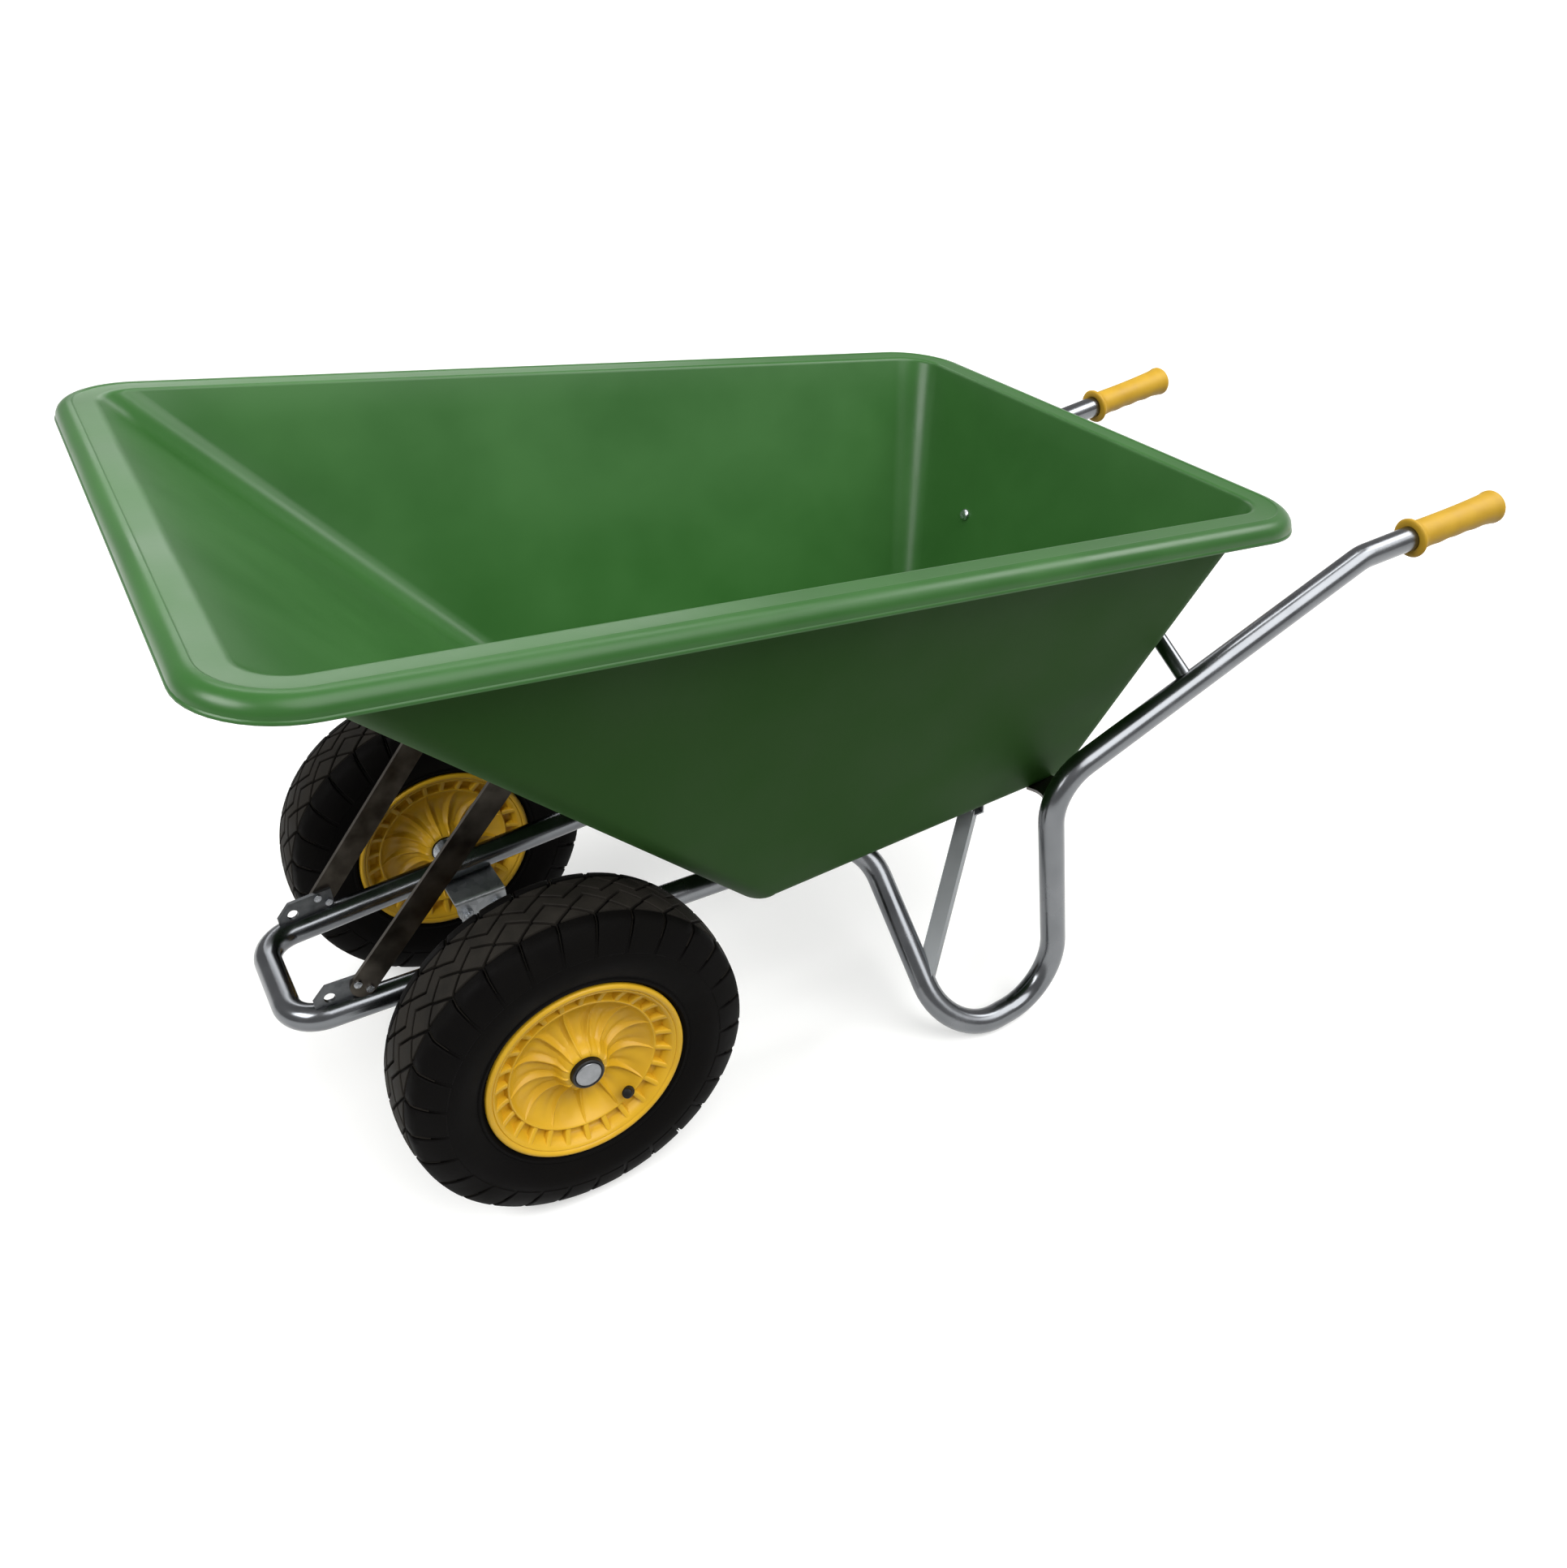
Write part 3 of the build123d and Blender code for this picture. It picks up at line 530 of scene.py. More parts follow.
def rounded_trapezoid(front, front_half, rear, rear_half, radius):
    """Points round a trapezoid with round corners, each with the direction that leads inward."""
    left = [(front, front_half), (rear, rear_half)]
    corners = [Vector(corner) for corner in left + [(x, -y) for x, y in left[::-1]]]
    arcs = []
    for i, corner in enumerate(corners):
        before = (corner - corners[i - 1]).normalized()
        after = (corners[(i + 1) % 4] - corner).normalized()
        bend = before.angle(after)
        first = Vector((before.y, -before.x))
        centre = corner - before * radius * math.tan(bend / 2) - first * radius
        outward = [Matrix.Rotation(bend * s / corner_steps, 2) @ first for s in range(corner_steps + 1)]
        arcs.append([(centre + d * radius, -d) for d in outward])
    outline = []
    for i, arc in enumerate(arcs):
        outline += arc
        end, inward = arc[-1]
        start = arcs[(i + 1) % 4][0][0]
        outline += [(end.lerp(start, s / side_steps), inward) for s in range(1, side_steps)]
    return outline


def floor_ring(inset):
    """The outline of the floor, where the walls would meet it without a fillet."""
    front = (tub_front - inset, tub_front_half - inset)
    rear = (tub_rear + inset, tub_rear_half - inset)
    outline = rounded_trapezoid(*front, *rear, floor_corner - inset)
    return [(Vector((p.x, p.y, tub_z + inset)), Vector((d.x, d.y, 0))) for p, d in outline]


def rim_ring(inset, lift):
    """A ring at this distance in from the lip's edge and this height over the plane of the rim."""
    radius = lip_corner + (mouth_corner - lip_corner) * inset / lip_width
    reach = lip_length / 2 - inset
    outline = rounded_trapezoid(reach, lip_front_half - inset, -reach, lip_rear_half - inset, radius)
    return [rim_middle + rim_slope * p.x + Vector((0, p.y, 0)) + rim_normal * lift for p, _ in outline]


def wall_rings(inset, fillet, shortfall):
    """Rings from the flat floor through the fillet and up the wall, ending short of the rim."""
    top = rim_ring(lip_width - tub_wall + inset, 0)
    rings = [[] for _ in range(1 + fillet_steps + 1 + wall_steps)]
    for (foot, inward), head in zip(floor_ring(inset), top):
        up = (head - foot).normalized()
        half = inward.angle(up) / 2
        centre = foot + (inward + up).normalized() * (fillet / math.sin(half))
        reach = fillet / math.tan(half)
        low = (foot + inward * reach - centre).normalized()
        high = (foot + up * reach - centre).normalized()
        path = [foot + inward * (floor_corner - inset - flat_corner)]
        path += [centre + low.slerp(high, step / fillet_steps) * fillet for step in range(fillet_steps + 1)]
        start = path[-1]
        path += [start.lerp(head - up * shortfall, step / wall_steps) for step in range(1, wall_steps + 1)]
        for ring, point in zip(rings, path):
            ring.append(point)
    return rings


def lip_rings():
    """Rings over the lip: a flat strip, a raised roll, a thin skirt with a bead, and back underneath."""
    profile = [(lip_width - edge_round, 0.0)] + strip_crease
    quarter = [TURN / 4 * step / roll_steps for step in range(roll_steps + 1)]
    for angle in quarter:
        inset = roll_width * (1 - math.sin(angle))
        profile.append((inset, roll_rise - roll_height * (1 - math.cos(angle))))
    profile += skirt_bead
    for angle in quarter[::-1]:
        inset = roll_wall + (roll_width - roll_wall) * (1 - math.sin(angle))
        lift = roll_rise - roll_wall - (roll_height - roll_wall) * (1 - math.cos(angle))
        profile.append((inset, lift - skirt_wall))
    profile += strip_underside
    return [rim_ring(inset, lift) for inset, lift in profile]


def edge_rings(below):
    """Rings round the mouth's inner edge, from the top of the wall to the strip."""
    corner = rim_ring(lip_width, 0)
    strip = rim_ring(lip_width - edge_round, 0)
    rings = []
    for step in range(1, edge_steps):
        share = step / edge_steps
        lines = zip(below, corner, strip)
        rings.append([a.lerp(b, share).lerp(b.lerp(c, share), share) for a, b, c in lines])
    return rings


def add_tub():
    """The tub's shell, satin inside and on the lip, matt outside, where the darker green is painted shade."""
    middle = (tub_front + tub_rear) / 2
    inside = wall_rings(tub_wall, tub_fillet - tub_wall, edge_round)
    inside += edge_rings(inside[-1])
    outside = wall_rings(0, tub_fillet, outside_shortfall)
    inner_pole = [Vector((middle, 0, tub_z + tub_wall))]
    outer_pole = [Vector((middle, 0, tub_z))]
    satin_rings = [inner_pole] + inside + lip_rings()
    points, faces = skin(satin_rings + outside[::-1] + [outer_pole])
    tub = add_piece("tub_shell", from_axle(points), faces, finishes["tub_plastic"])
    # The outside takes the darker green, a painted shade.
    tub.data.materials.append(tub_outside)
    satin_faces = (len(satin_rings) - 1) * len(inside[0])
    for polygon in tub.data.polygons[satin_faces:]:
        polygon.material_index = 1
    finish_mesh(tub.data, crease=30)
    dress(tub, "chassis", "tub_plastic", "tub")


add_tub()


# Tyre: a turned carcass and one pitch of tread, repeated round the crown

tyre_half = 61.0
shoulder_half = 0.74 * tyre_half
side_curve = 0.0093
crown_steps = 6
shoulder_steps = 8
wall_radii = (146, 140, 134, 129, 125)
bead_play = 0.1
bead_side = flange_inner - bead_play
bead_radius = bead_seat_radius + bead_play
bead_toe = heel_low - 4.0

# Points of the carcass's section, as radius and distance from the middle plane
wall_step = [(123.2, 55.6), (120.8, 55.2), (119.4, 52.6)]
tyre_cavity = [(132.0, 46.0), (bulge_radius, 50.0), (172.0, 46.0), (184.0, 32.0), (188.5, 10.0)]

# Tread: widths are measured across from the middle line, and a phase is a place along it in pitches
tread_count = 29
tread_depth = 4.5
block_root = tread_depth + 1.0
block_bevel = 0.9
block_top_length = 0.93
block_top_width = 0.94
zigzag = 7.5
zigzag_steps = 12
rib_half = 6.4
rib_edge = [(-rib_half - 0.8, block_root), (-rib_half - 0.5, block_bevel), (-rib_half + 0.6, 0)]
groove = 4.4
diamond_waist = 17.0
diamond_steps = 5
diamond_phase = 0.75
wedge_base = 31.5
wedge_cut = 0.06
wedge_steps = 4
wedge_phase = 0.25
lug_inner = 33.0
lug_outer = 84.0
lug_gap = 4.6
lug_slant = 0.22
lug_rows = 8
lug_columns = 4
line_half = 0.9
line_sink = 0.8
line_reach = 0.62
line_steps = 6
tyre_steps = 6 * tread_count
tread_pitch = TURN / tread_count
pitch_length = tread_pitch * tyre_radius

# The zigzag goes from one side to the other in half a pitch, and the blocks' edges run beside it.
edge_slope = 4 * zigzag
diamond_inner = rib_half - zigzag + groove
diamond_outer = 2 * diamond_waist - diamond_inner
wedge_tip = diamond_outer - edge_slope / 2 + groove

# The shoulder's arc leaves the bulge along the radius and meets the crown at the shoulder.
arc_reach = tyre_radius - shoulder_drop - bulge_radius
arc_fall = tyre_half - shoulder_half
arc_radius = (arc_reach**2 + arc_fall**2) / (2 * arc_fall)
arc_angle = math.asin(arc_reach / arc_radius)


def tyre_section(across, sink):
    """Radius and offset on the tyre's outer surface, this far across from the crown, sunk by a depth."""
    side = math.copysign(1, across)
    width = abs(across)
    if width <= shoulder_half:
        return tyre_radius - shoulder_drop * (width / shoulder_half) ** 2 - sink, across
    angle = arc_angle - (width - shoulder_half) / arc_radius
    radius = arc_radius - sink
    return bulge_radius + radius * math.sin(angle), side * (tyre_half - arc_radius + radius * math.cos(angle))


def side_wall(radius):
    """Offset of the side wall from the tyre's middle plane, inside the bulge."""
    return tyre_half - side_curve * (radius - bulge_radius) ** 2


def on_tyre(pitches, across, sink):
    """A point on the tyre, from its place along the tread in pitches and across it in millimetres."""
    radius, offset = tyre_section(across, sink)
    angle = pitches * tread_pitch
    return radius * math.cos(angle), radius * math.sin(angle), offset


def carcass_profile():
    """Half of the section from the crown round the side wall and the bead, then back inside the cavity."""
    crown = [shoulder_half * step / crown_steps for step in range(crown_steps + 1)]
    half = [tyre_section(across, tread_depth) for across in crown]
    for step in range(1, shoulder_steps + 1):
        across = shoulder_half + arc_angle * arc_radius * step / shoulder_steps
        half.append(tyre_section(across, tread_depth * (1 - step / shoulder_steps)))
    half += [(radius, side_wall(radius)) for radius in wall_radii]
    half += wall_step
    half += [(flange_radius + 2 * bead_play, bead_side), (heel_radius, bead_side)]
    half += [(bead_radius, heel_low - bead_play), (bead_radius, bead_toe), (flange_radius, bead_toe)]
    half += tyre_cavity
    return half + [(radius, -offset) for radius, offset in half[:0:-1]]


def raised_patch(grid):
    """A block of tread: a grid of places, bevelled at its edge and walled down into the carcass."""
    rows = len(grid)
    columns = len(grid[0])
    middle_u = sum(u for row in grid for u, w in row) / (rows * columns)
    middle_w = sum(w for row in grid for u, w in row) / (rows * columns)
    points = []
    for row in grid:
        for u, w in row:
            along = middle_u + (u - middle_u) * block_top_length
            across = middle_w + (w - middle_w) * block_top_width
            points.append(on_tyre(along, across, 0))
    edge = [(0, c) for c in range(columns)] + [(r, columns - 1) for r in range(1, rows)]
    edge += [(rows - 1, c) for c in range(columns - 2, -1, -1)] + [(r, 0) for r in range(rows - 2, 0, -1)]
    faces = []
    for r in range(rows - 1):
        for c in range(columns - 1):
            first = r * columns + c
            faces.append([first, first + 1, first + columns + 1, first + columns])
    above = [r * columns + c for r, c in edge]
    for sink in (block_bevel, block_root):
        ring = range(len(points), len(points) + len(edge))
        points += [on_tyre(*grid[r][c], sink) for r, c in edge]
        for i in range(len(edge)):
            j = (i + 1) % len(edge)
            faces.append([above[i], above[j], ring[j], ring[i]])
        above = ring
    faces.append(list(above))
    return points, faces


def centre_rib():
    """One zigzag of the rib that runs round the middle of the tread, farthest over at a quarter pitch."""
    rings = []
    for step in range(zigzag_steps + 1):
        u = step / zigzag_steps - 0.5
        swing = zigzag * (1 - 4 * abs((u + 0.25) % 1 - 0.5))
        rings.append([on_tyre(u, swing + across, sink) for across, sink in both_sides(rib_edge)])
    return skin(rings)


def diamond_block(side):
    """A diamond in a nook of the zigzag: two edges run beside the rib, two point to the shoulder."""
    rise = diamond_waist - diamond_inner
    tip = Vector((diamond_phase * side, side * diamond_inner))
    ahead = Vector((rise / edge_slope, side * rise))
    behind = Vector((-rise / edge_slope, side * rise))
    steps = range(diamond_steps + 1)
    return raised_patch(
        [[tip + ahead * r / diamond_steps + behind * c / diamond_steps for c in steps] for r in steps]
    )


def shoulder_wedge(side):
    """A triangle between two diamonds, its tip cut off and its base along the shoulder."""
    grid = []
    steps = range(wedge_steps + 1)
    for row in steps:
        share = wedge_cut + (1 - wedge_cut) * row / wedge_steps
        across = wedge_tip + (wedge_base - wedge_tip) * share
        half = (across - wedge_tip) / edge_slope
        grid.append([(wedge_phase * side + half * (2 * c / wedge_steps - 1), side * across) for c in steps])
    return raised_patch(grid)


def down_the_shoulder(side, phase, share):
    """A place this share of the way from a lug's inner end to its outer end, along the lugs' slant."""
    return side * (phase + lug_slant * share), side * (lug_inner + (lug_outer - lug_inner) * share)


def shoulder_lug(side):
    """A lug that slants from the shoulder down to the side wall, where it sinks into the carcass."""
    half = 0.5 - lug_gap / pitch_length / 2
    grid = []
    for row in range(lug_rows + 1):
        middle, across = down_the_shoulder(side, wedge_phase, row / lug_rows)
        places = [middle + half * (2 * c / lug_columns - 1) for c in range(lug_columns + 1)]
        grid.append([(u, across) for u in places])
    return raised_patch(grid)


def gap_line(side):
    """A thin raised line along the gap between two lugs, in the paler tread rubber, whose paleness here is a
    painted glint on the gap's edge.
    """
    section = [(-line_half, block_root), (0, line_sink), (line_half, block_root)]
    rings = []
    for step in range(line_steps + 1):
        middle, across = down_the_shoulder(side, diamond_phase, line_reach * step / line_steps)
        rings.append([on_tyre(middle + offset / pitch_length, across, sink) for offset, sink in section])
    return bar(rings)


def tyre_mesh():
    """The tyre: a black carcass with its lugs, and the paler blocks that touch the ground, whose paleness is
    partly painted light.
    """
    rubber = finishes["tyre"]
    carcass = add_piece("carcass", *lathe(carcass_profile(), tyre_steps), rubber)
    lugs = add_piece("lug_pitch", *merged([shoulder_lug(side) for side in (1, -1)]), rubber)
    lugged = add_object("lugged", repeat_round(carcass, lugs, tread_count, rubber))
    blocks = [centre_rib()]
    for block in (diamond_block, shoulder_wedge, gap_line):
        blocks += [block(side) for side in (1, -1)]
    # The crown's blocks and gap lines take the paler tread rubber, partly painted light.
    crown = add_piece("block_pitch", *merged(blocks), tread_finish)
    mesh = repeat_round(lugged, crown, tread_count, tread_finish)
    finish_mesh(mesh, crease=32)
    return mesh


# Rim: a turned dish and flange, with a sector of one rib and two fins repeated round it

rim_steps = 16 * rib_count
dish_hub = 40.0
dish_rise = 1.5
dish_hollow = 16.75
dish_edge = 83.6
dish_edge_lift = 0.5
dish_radii = (32, 36, 41, 47, 54, 61, 67, 72, 76, 79, 81.5)
scoop_depth = 1.4
scoop_start = hub_radius + 1.0
scoop_end = ring_wall_radius - 3.0
boss_gap = 0.3
boss_top = hub_half + 5.2
boss_flat = 21.6
boss_curve = 0.16
boss_radii = (boss_flat, 23.4, 25.4, 27.6, 29.8)
flange_edge = 52.6
well_shoulder = well_half + 3.5

# Points of the rim's section, as radius and height over the middle plane
ring_wall = [(84.6, 42.4), (85.6, 43.6), (86.6, 43.9), (87.5, 43.5), (88.0, 42.6)]
rim_pocket = [(88.6, 38.4), (90.0, 36.8), (97.0, 37.4), (99.0, 39.2), (99.8, 43.6)]
flange_crease = [(103.4, 50.2), (106.6, 53.6), (107.6, 53.9), (108.3, 53.3), (109.0, 54.3)]
flange_roll = [(110.6, 55.5), (112.4, 56.0), (114.3, 55.5), (115.6, 54.2)]

# Ribs and fins: half of each section, as distance across and height over the foot
rib_start = 20.0
rib_stations = (20.5, 22.5, 24.5, 26.5, 28.5, 31, 34, 38, 44, 51, 58, 65, 71, 76, 80, 83, 85)
rib_section = [(-6.5, -1.0), (-4.0, 0.7), (-2.2, 2.3), (-1.0, 4.4), (-0.5, 5.0)]
rib_hub_share = 0.55
rib_swell = 0.75
rib_swell_skew = 0.8
rib_fall = 0.25
fin_feet = [(86.5, 43.0), (92.0, 44.6), (98.0, 47.4), (105.0, 51.6)]
fin_section = [(-3.9, -12.0), (-3.3, -1.6), (-2.9, -0.5), (-2.1, 0.0)]

# Bush, cap and valve: rounded edges are given as distances back from the edge and down from the top
bush_bore = 10.05
bush_radius = 14.05
bush_length = 36.0
collar_radius = 19.0
collar_bore = 15.5
collar_top = 57.8
collar_foot = 0.5
collar_round = [(0.0, 1.4), (0.7, 0.4), (1.9, 0.0)]
collar_bore_round = [(1.2, 0.2), (0.0, 1.2)]
collar_steps = 64
journal_radius = 10.02
cap_radius = 15.0
cap_low = 49.3
cap_top = 58.3
cap_wall = 2.0
cap_play = 0.3
cap_round = [(0.0, 1.0), (0.4, 0.4), (1.2, 0.0), (1.8, 0.3), (2.6, 0.3)]
cap_flat = 7.0
cap_dome = 0.1
valve_root = (112.0, 15.0)
valve_tip = (74.0, 50.0)
valve_cap_below = 8.0
valve_nut = [(0, 0), (5.8, 0), (6.4, 0.8), (6.4, 6.0), (5.4, 6.8)]
valve_cap = [(5.4, 8.2), (6.0, 9.0), (6.0, 13.6), (5.4, 15.0), (4.0, 15.8), (0, 16.0)]


def dish_share(radius):
    """How far a radius lies between the hub, nought, and the ring wall, one."""
    return (radius - hub_radius) / (ring_wall_radius - hub_radius)


def dish(radius):
    """Height of the concave web, a curve from the hub to the ring wall."""
    share = dish_share(radius)
    return dish_hub + dish_rise * share - 4 * dish_hollow * share * (1 - share)


def boss(radius):
    """Height of the boss that rises round the collar."""
    return boss_top - boss_curve * max(0.0, radius - boss_flat) ** 2


def rim_profile():
    """The rim's section: half from the hub's face over the dish and the flange to the well, then mirrored."""
    half = [(hub_bore, hub_half), (collar_radius + boss_gap, hub_half)]
    half += [(collar_radius + 2 * boss_gap, boss_top)]
    half += [(radius, boss(radius)) for radius in boss_radii]
    half += [(radius, dish(radius)) for radius in dish_radii]
    half += [(dish_edge, dish(dish_edge) + dish_edge_lift)]
    half += ring_wall + rim_pocket + flange_crease + flange_roll
    half += [(flange_radius, flange_edge), (flange_radius, flange_inner), (heel_radius, flange_inner)]
    half += [(bead_seat_radius, heel_low), (bead_seat_radius, well_shoulder), (well_radius, well_half)]
    return half + [(radius, -height) for radius, height in half[::-1]]


def scalloped(points):
    """The dish between the ribs, hollowed a little so that each sector is a shallow scoop."""
    moved = []
    for x, y, z in points:
        radius = math.hypot(x, y)
        if scoop_start < radius < scoop_end and abs(z) > well_half:
            phase = rib_count * (math.atan2(y, x) - valve_angle)
            z += math.copysign(scoop_depth * math.sin(math.pi * dish_share(radius)) * -math.cos(phase), z)
        moved.append((x, y, z))
    return moved


def ridge(stations, section):
    """A bar along the local X direction: its section at each radius, on a foot and scaled by a share."""
    rings = []
    for radius, foot, share in stations:
        ring = []
        for across, rise in section:
            height = rise * share if rise > 0 else rise
            ring.append((radius, across * share, foot + height))
        rings.append(ring)
    return bar(rings)


def turned(part, angle, flip):
    """A part turned about the axis, and mirrored to the wheel's other face where asked."""
    points, faces = part
    turn = Matrix.Rotation(angle, 3, "Z")
    return [turn @ Vector((x, y, -z if flip else z)) for x, y, z in points], faces


def rib_share(radius):
    """How much of a rib's section is left: narrow at the hub, full half-way out and low at the ring."""
    share = dish_share(radius)
    swell = math.sin(math.pi * min(1.0, max(0.0, share)) ** rib_swell_skew)
    full = rib_hub_share + rib_swell * swell - rib_fall * share
    return full * min(1.0, (radius - rib_start) / (hub_radius - rib_start))


def rim_sector():
    """One rib and the two fins of its pitch, on both faces of the wheel."""
    stations = [(radius, max(dish(radius), boss(radius)), rib_share(radius)) for radius in rib_stations]
    rib = ridge(stations, both_sides(rib_section))
    fin = ridge([(radius, foot, 1.0) for radius, foot in fin_feet], both_sides(fin_section))
    half_pitch = math.pi / rib_count
    first = valve_angle + half_pitch
    parts = []
    for flip in (False, True):
        parts.append(turned(rib, first, flip))
        parts.append(turned(fin, first, flip))
        parts.append(turned(fin, first + half_pitch, flip))
    return merged(parts)


def rim_mesh():
    """The rim: the turned body with its ribs and fins."""
    plastic = finishes["rim_plastic"]
    points, faces = lathe(rim_profile(), rim_steps)
    body = add_piece("rim_body", scalloped(points), faces, plastic)
    sector = add_piece("rim_sector", *rim_sector(), plastic)
    mesh = repeat_round(body, sector, rib_count, plastic)
    finish_mesh(mesh, crease=40)
    return mesh


def bush_mesh():
    """The outer bush: a sleeve in the hub and a raised black collar round the cap."""
    inner_end = hub_half - bush_length
    profile = [(bush_bore, inner_end), (bush_radius, inner_end), (bush_radius, hub_half)]
    profile += [(collar_radius - collar_foot, hub_half), (collar_radius, hub_half + collar_foot)]
    profile += [(collar_radius - back, collar_top - down) for back, down in collar_round]
    profile += [(collar_bore + back, collar_top - down) for back, down in collar_bore_round]
    profile += [(collar_bore, cap_low - cap_play), (bush_bore, cap_low - cap_play)]
    piece = add_piece("bush", *lathe(profile, collar_steps), finishes["bush_plastic"])
    return as_mesh(piece, crease=30)


def cap_mesh():
    """The bare cap pressed on the axle's end, flush in the collar, with a faint dome."""
    profile = [(0, cap_top - cap_wall), (journal_radius, cap_top - cap_wall), (journal_radius, cap_low)]
    profile += [(cap_radius, cap_low)]
    profile += [(cap_radius - back, cap_top - down) for back, down in cap_round]
    profile += [(cap_flat, cap_top), (0, cap_top + cap_dome)]
    piece = add_piece("cap", *lathe(profile, collar_steps, loop=False), finishes["cap_steel"])
    return as_mesh(piece, crease=30)


def valve_cap_mesh():
    """The valve's black cap over its nut, along the slant of the valve."""
    points, faces = lathe(valve_nut + valve_cap, collar_steps, loop=False)
    spoke = Vector((math.cos(valve_angle), math.sin(valve_angle), 0))
    root, tip = [spoke * radius + Vector((0, 0, offset)) for radius, offset in (valve_root, valve_tip)]
    run = (tip - root).normalized()
    slant = run.to_track_quat("Z", "Y")
    placed = [tip - run * valve_cap_below + slant @ Vector(point) for point in points]
    return as_mesh(add_piece("valve_cap", placed, faces, finishes["cap_plastic"]), crease=30)


def put_on_wheels(make, node, slot, turning=True):
    """The same mesh at both wheels, each turned so that its outer face looks away from the barrow."""
    for side_name, outward in SIDES:
        hinge = hinges[side_name + "_wheel"]
        turn = Matrix(((1, 0, 0), (0, 0, outward), (0, -outward, 0))).to_4x4()
        mesh = make()
        mesh.transform(Matrix.Translation(hinge) @ turn)
        thing = add_object(side_name + "_" + node + "_shape", mesh)
        dress(thing, side_name + "_wheel" if turning else "chassis", slot, side_name + "_" + node)


put_on_wheels(tyre_mesh, "tyre", "tyre")
put_on_wheels(rim_mesh, "rim", "rim_plastic")
put_on_wheels(bush_mesh, "outer_bush", "bush_plastic")
put_on_wheels(cap_mesh, "hub_cap", "cap_steel", turning=False)
put_on_wheels(valve_cap_mesh, "valve_cap", "cap_plastic")


# Grips: turned about the end of the handle, with shallow finger waves on the underside

grip_steps = 48
grip_bore = tube_radius + 0.02
mouth_depth = 0.8
mouth_flare = 0.9
hold_start = grip_collar + 8.0
hold_end = grip_length - 16.0
hold_steps = 32
hold_waist = 0.5
hold_flare = 1.2
grip_end_flat = 8.0
finger_count = 4
finger_depth = 1.3
finger_start = grip_collar + 4.0
finger_end = grip_length - 14.0
finger_floor = grip_radius - 2.0
finger_wrap = 1.5

# Rounded edges: distance in from the edge's radius, and distance from the grip's nearer end
grip_collar_edge = [(3.2, 0), (1.0, 0.9), (0, 2.6), (0.4, 4.4), (2.0, 6.2)]
grip_end_edge = [(1.2, 12), (0.3, 8), (0.6, 4.5), (2.4, 1.8), (6, 0.3)]

# The collar's foot: radius over the grip's own, and distance past the collar
grip_collar_neck = [(1.6, 0), (0.4, 3.5)]


def grip_profile():
    """Radius and distance along the grip, from the bore's end over the collar to the rounded end."""
    bore_end = grip_length - grip_end_wall
    profile = [(0, bore_end), (grip_bore, bore_end), (grip_bore, mouth_depth), (grip_bore + mouth_flare, 0)]
    profile += [(grip_collar_radius - back, along) for back, along in grip_collar_edge]
    profile += [(grip_radius + over, grip_collar + past) for over, past in grip_collar_neck]
    for step in range(hold_steps + 1):
        along = hold_start + (hold_end - hold_start) * step / hold_steps
        share = (along - hold_start) / (hold_end - hold_start)
        profile.append((grip_radius - hold_waist * math.sin(math.pi * share) + hold_flare * share**3, along))
    profile += [(grip_end_radius - back, grip_length - left) for back, left in grip_end_edge]
    return profile + [(grip_end_flat, grip_length), (0, grip_length)]


def grip_mesh(side):
    """One grip along the end of its handle, trimmed underneath where the fingers lie."""
    points, faces = lathe(grip_profile(), grip_steps, loop=False)
    end = Vector((handle_end.x, side * handle_end.y, handle_end.z))
    bend = Vector((handle_bend.x, side * handle_bend.y, handle_bend.z))
    run = (end - bend).normalized()
    level = Vector((0, 0, 1)).cross(run).normalized()
    over = run.cross(level)
    start = end - run * (grip_length - grip_end_wall)
    placed = []
    for x, y, z in points:
        outward = math.hypot(x, y)
        if outward > finger_floor and finger_start < z < finger_end:
            share = (z - finger_start) / (finger_end - finger_start)
            under = max(0.0, -y / outward) ** finger_wrap
            trim = finger_depth * under * math.sin(math.pi * finger_count * share) ** 2
            x *= 1 - trim / outward
            y *= 1 - trim / outward
        placed.append(start + level * x + over * y + run * z)
    return from_axle(placed), faces


for side_name, side in SIDES:
    grip = add_piece(side_name + "_grip_shape", *grip_mesh(side), finishes["grip_rubber"])
    finish_mesh(grip.data, crease=45)
    dress(grip, "chassis", "grip_rubber", side_name + "_grip")


# Knee plates: a curved sheet from the bend of each leg tube to the edge of the tub's floor

plate_thickness = 4.0
plate_steps = 8
plate_hollow = 0.125
leg_low = Vector((-629.0, 281.0, 305.0))
leg_high = Vector((-664.0, 281.0, 327.0))
tub_near = Vector((-674.0, 191.0, 257.0))
tub_far = Vector((-715.0, 184.0, 256.0))


def knee_plate(side):
    """A sheet between two edges, its free lower edge hollowed by a share of its width."""
    down = Vector((0, 0, -plate_thickness))
    rings = []
    for step in range(plate_steps + 1):
        share = step / plate_steps
        far = leg_high.lerp(tub_far, share)
        near = leg_low.lerp(tub_near, share).lerp(far, plate_hollow * math.sin(math.pi * share))
        rings.append([Vector((p.x, side * p.y, p.z)) for p in (near, far, far + down, near + down)])
    points, faces = bar(rings)
    return from_axle(points), faces


for side_name, side in SIDES:
    plate = add_piece(side_name + "_knee_plate", *knee_plate(side), finishes["dark_steel"])
    finish_mesh(plate.data, crease=40)
    dress(plate, "chassis", "dark_steel", side_name + "_side_gusset")


# Camera where the photograph was taken from

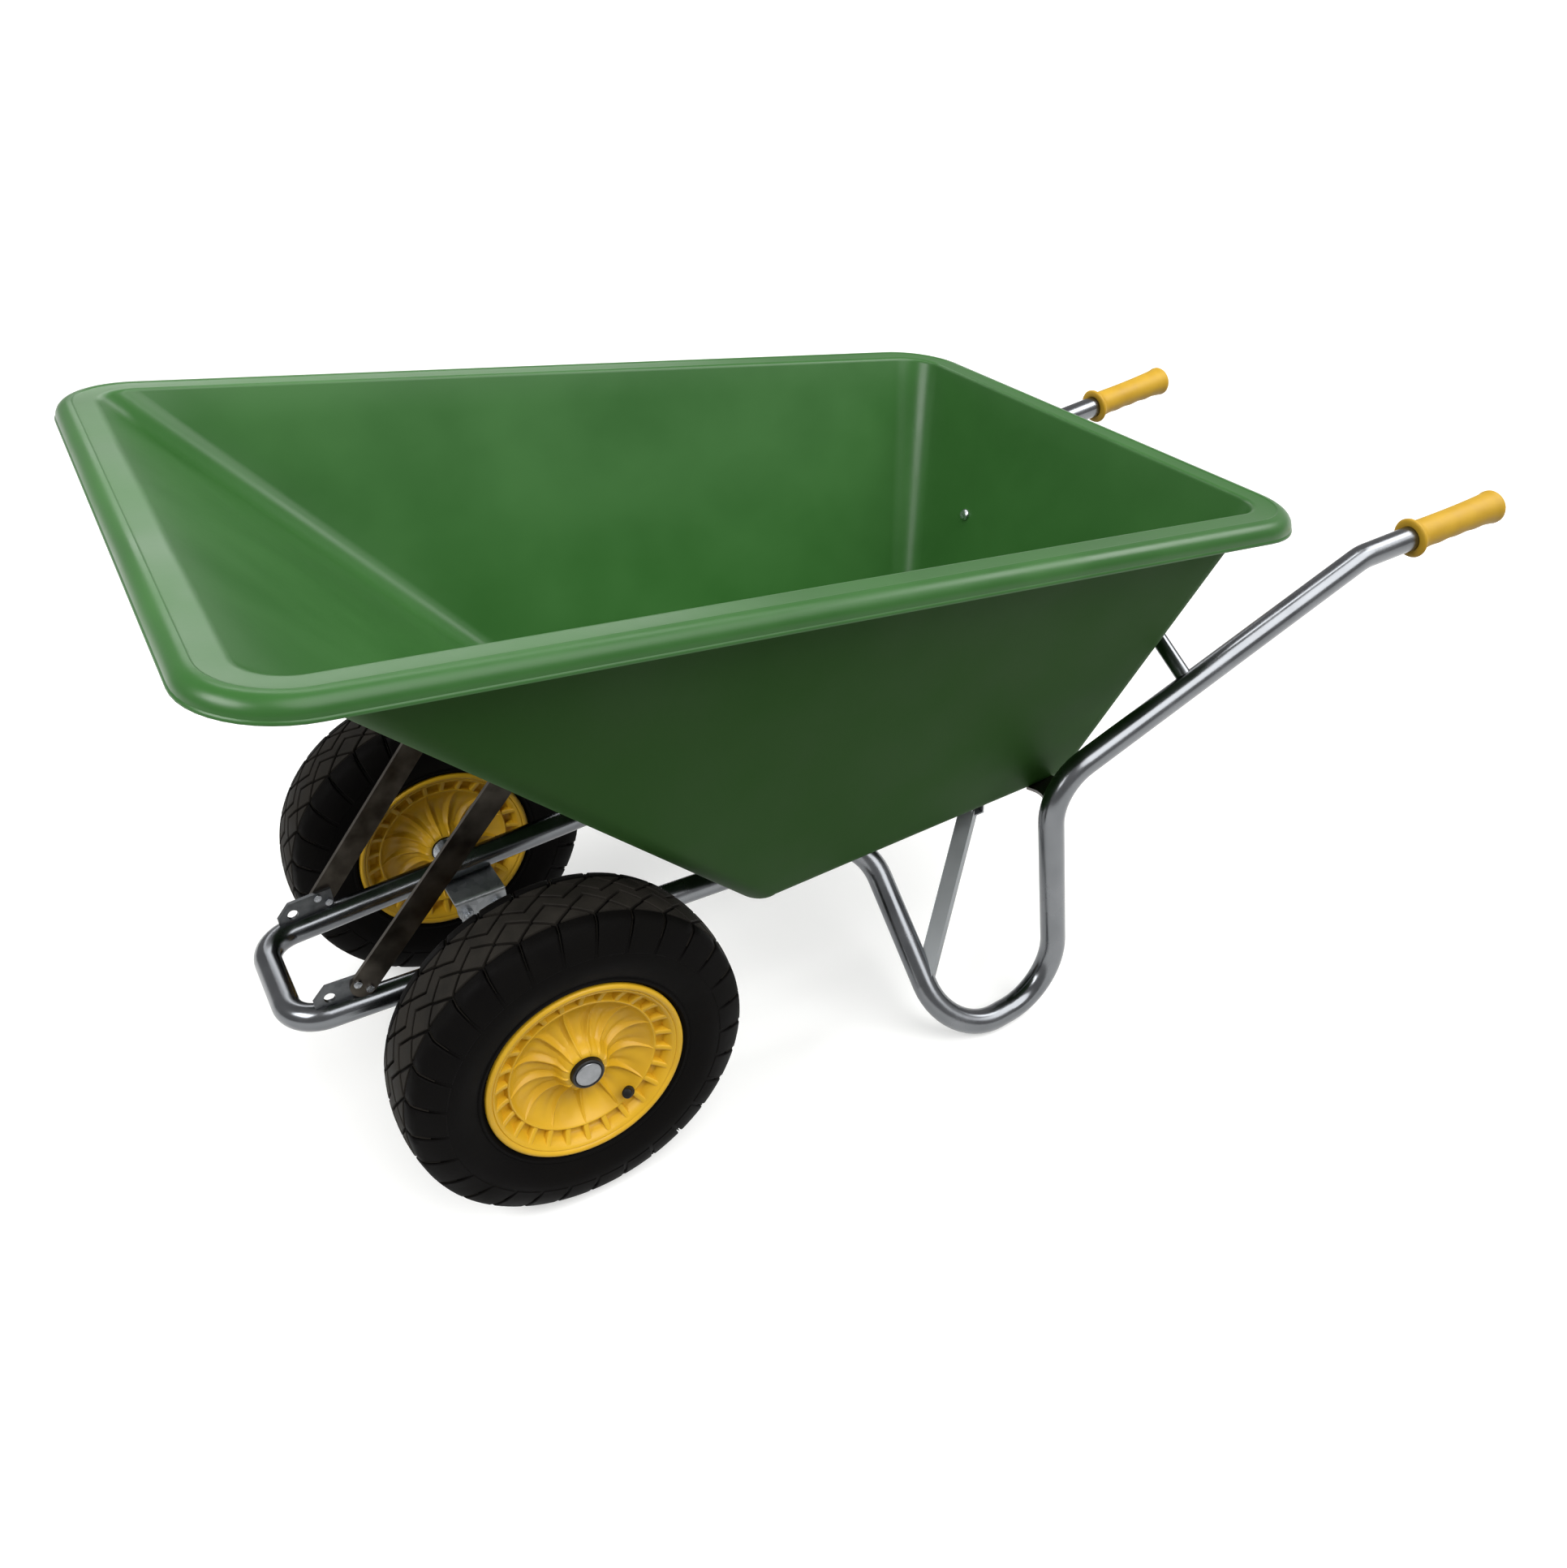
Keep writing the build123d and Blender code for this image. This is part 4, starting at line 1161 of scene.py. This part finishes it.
camera_place = Vector((axle_x + 0.312, 1.332, 1.322))
camera_azimuth = math.radians(152.5)
camera_elevation = math.radians(33.44)
camera_roll = math.radians(-3.64)
picture_side = 1932
focal_pixels = 1714.4
middle_pixel = (932.2, 914.6)
back = Vector(
    (
        math.sin(camera_azimuth) * math.cos(camera_elevation),
        -math.cos(camera_azimuth) * math.cos(camera_elevation),
        math.sin(camera_elevation),
    )
)
right = back.cross(Vector((0, 0, -1))).normalized()
up = back.cross(right)
turned_right = right * math.cos(camera_roll) + up * math.sin(camera_roll)
turned_up = up * math.cos(camera_roll) - right * math.sin(camera_roll)
lens = bpy.data.cameras.new("camera")
lens.sensor_width = 36
lens.lens = focal_pixels / picture_side * lens.sensor_width
lens.shift_x = (picture_side / 2 - middle_pixel[0]) / picture_side
lens.shift_y = (middle_pixel[1] - picture_side / 2) / picture_side
camera = add_object("camera", lens)
camera.matrix_world = Matrix(
    [
        [turned_right.x, turned_up.x, back.x, camera_place.x],
        [turned_right.y, turned_up.y, back.y, camera_place.y],
        [turned_right.z, turned_up.z, back.z, camera_place.z],
        [0, 0, 0, 1],
    ]
)
bpy.context.scene.camera = camera


# Floor, light and background

floor_reach = 40
floor_glow = 0.45
backdrop_strength = 0.42
floor_points = [(x * floor_reach, y * floor_reach, 0) for x, y in ((-1, -1), (1, -1), (1, 1), (-1, 1))]
floor_mesh = bpy.data.meshes.new("floor")
floor_mesh.from_pydata(floor_points, [], [(0, 1, 2, 3)])
floor = add_object("floor", floor_mesh)


def seen_rays(tree):
    """One for camera, glossy and transmission rays, nought for the light that bounces."""
    path = add(tree, "ShaderNodeLightPath")
    total = path.outputs["Is Camera Ray"]
    for name in ("Is Glossy Ray", "Is Transmission Ray"):
        total = add(tree, "ShaderNodeMath", {0: total, 1: path.outputs[name]}, operation="MAXIMUM").outputs[0]
    return total


def studio_floor():
    """Painted floor: seen as white paper with the barrow's shadow, but bouncing light like a grey one."""
    material = bpy.data.materials.new("white_painted_floor")
    material.use_nodes = True
    tree = material.node_tree
    tree.nodes.clear()
    seen = seen_rays(tree)
    ends = {"Factor": seen, "A": linear("#6e6e6c"), "B": linear("#d2d2d0")}
    paint = add(tree, "ShaderNodeMix", ends, data_type="RGBA")
    matt = add(tree, "ShaderNodeBsdfDiffuse", {"Color": paint.outputs["Result"]})
    level = add(tree, "ShaderNodeMath", {0: seen, 1: floor_glow}, operation="MULTIPLY")
    glow = add(tree, "ShaderNodeEmission", {"Strength": level.outputs[0]})
    both = add(tree, "ShaderNodeAddShader", {0: matt.outputs[0], 1: glow.outputs[0]})
    add(tree, "ShaderNodeOutputMaterial", {"Surface": both.outputs[0]})
    return material


floor_mesh.materials.append(studio_floor())


def lamp(name, kind, place, aim, energy, **settings):
    """A lamp at a place, turned to shine at the aim."""
    data = bpy.data.lights.new(name, kind)
    data.energy = energy
    for setting, value in settings.items():
        setattr(data, setting, value)
    thing = add_object(name, data)
    thing.location = place
    thing.rotation_mode = "QUATERNION"
    thing.rotation_quaternion = (Vector(aim) - Vector(place)).to_track_quat("-Z", "Y")


def panel(name, place, aim, energy, width, depth):
    """A flat lamp of this width and depth in metres."""
    lamp(name, "AREA", place, aim, energy, shape="RECTANGLE", size=width, size_y=depth)


lamp("soft_sky", "SUN", place=(-1.2, 2.3, 3.4), aim=(0, 0, 0), energy=2.6, angle=math.radians(50))
panel("ceiling_strip", place=(-0.2, -0.6, 2.6), aim=(0.2, 0, 0.6), energy=22, width=2.6, depth=0.3)
panel("far_strip", place=(-0.3, -2.6, 2.0), aim=(0, 0.2, 0.7), energy=16, width=2.4, depth=0.5)
panel("front_soft", place=(2.4, 0.5, 2.4), aim=(-0.2, 0, 0.6), energy=55, width=1.5, depth=1.0)
panel("rear_soft", place=(-2.3, 0.5, 2.4), aim=(0.5, 0, 0.5), energy=32, width=1.2, depth=1.2)

world = bpy.data.worlds.new("studio")
bpy.context.scene.world = world
world.use_nodes = True
sky = world.node_tree
sky.nodes.clear()
backdrop = add(sky, "ShaderNodeBackground", {"Color": (1, 1, 1, 1), "Strength": backdrop_strength})
add(sky, "ShaderNodeOutputWorld", {"Surface": backdrop.outputs[0]})

bpy.context.scene.view_settings.view_transform = "Standard"
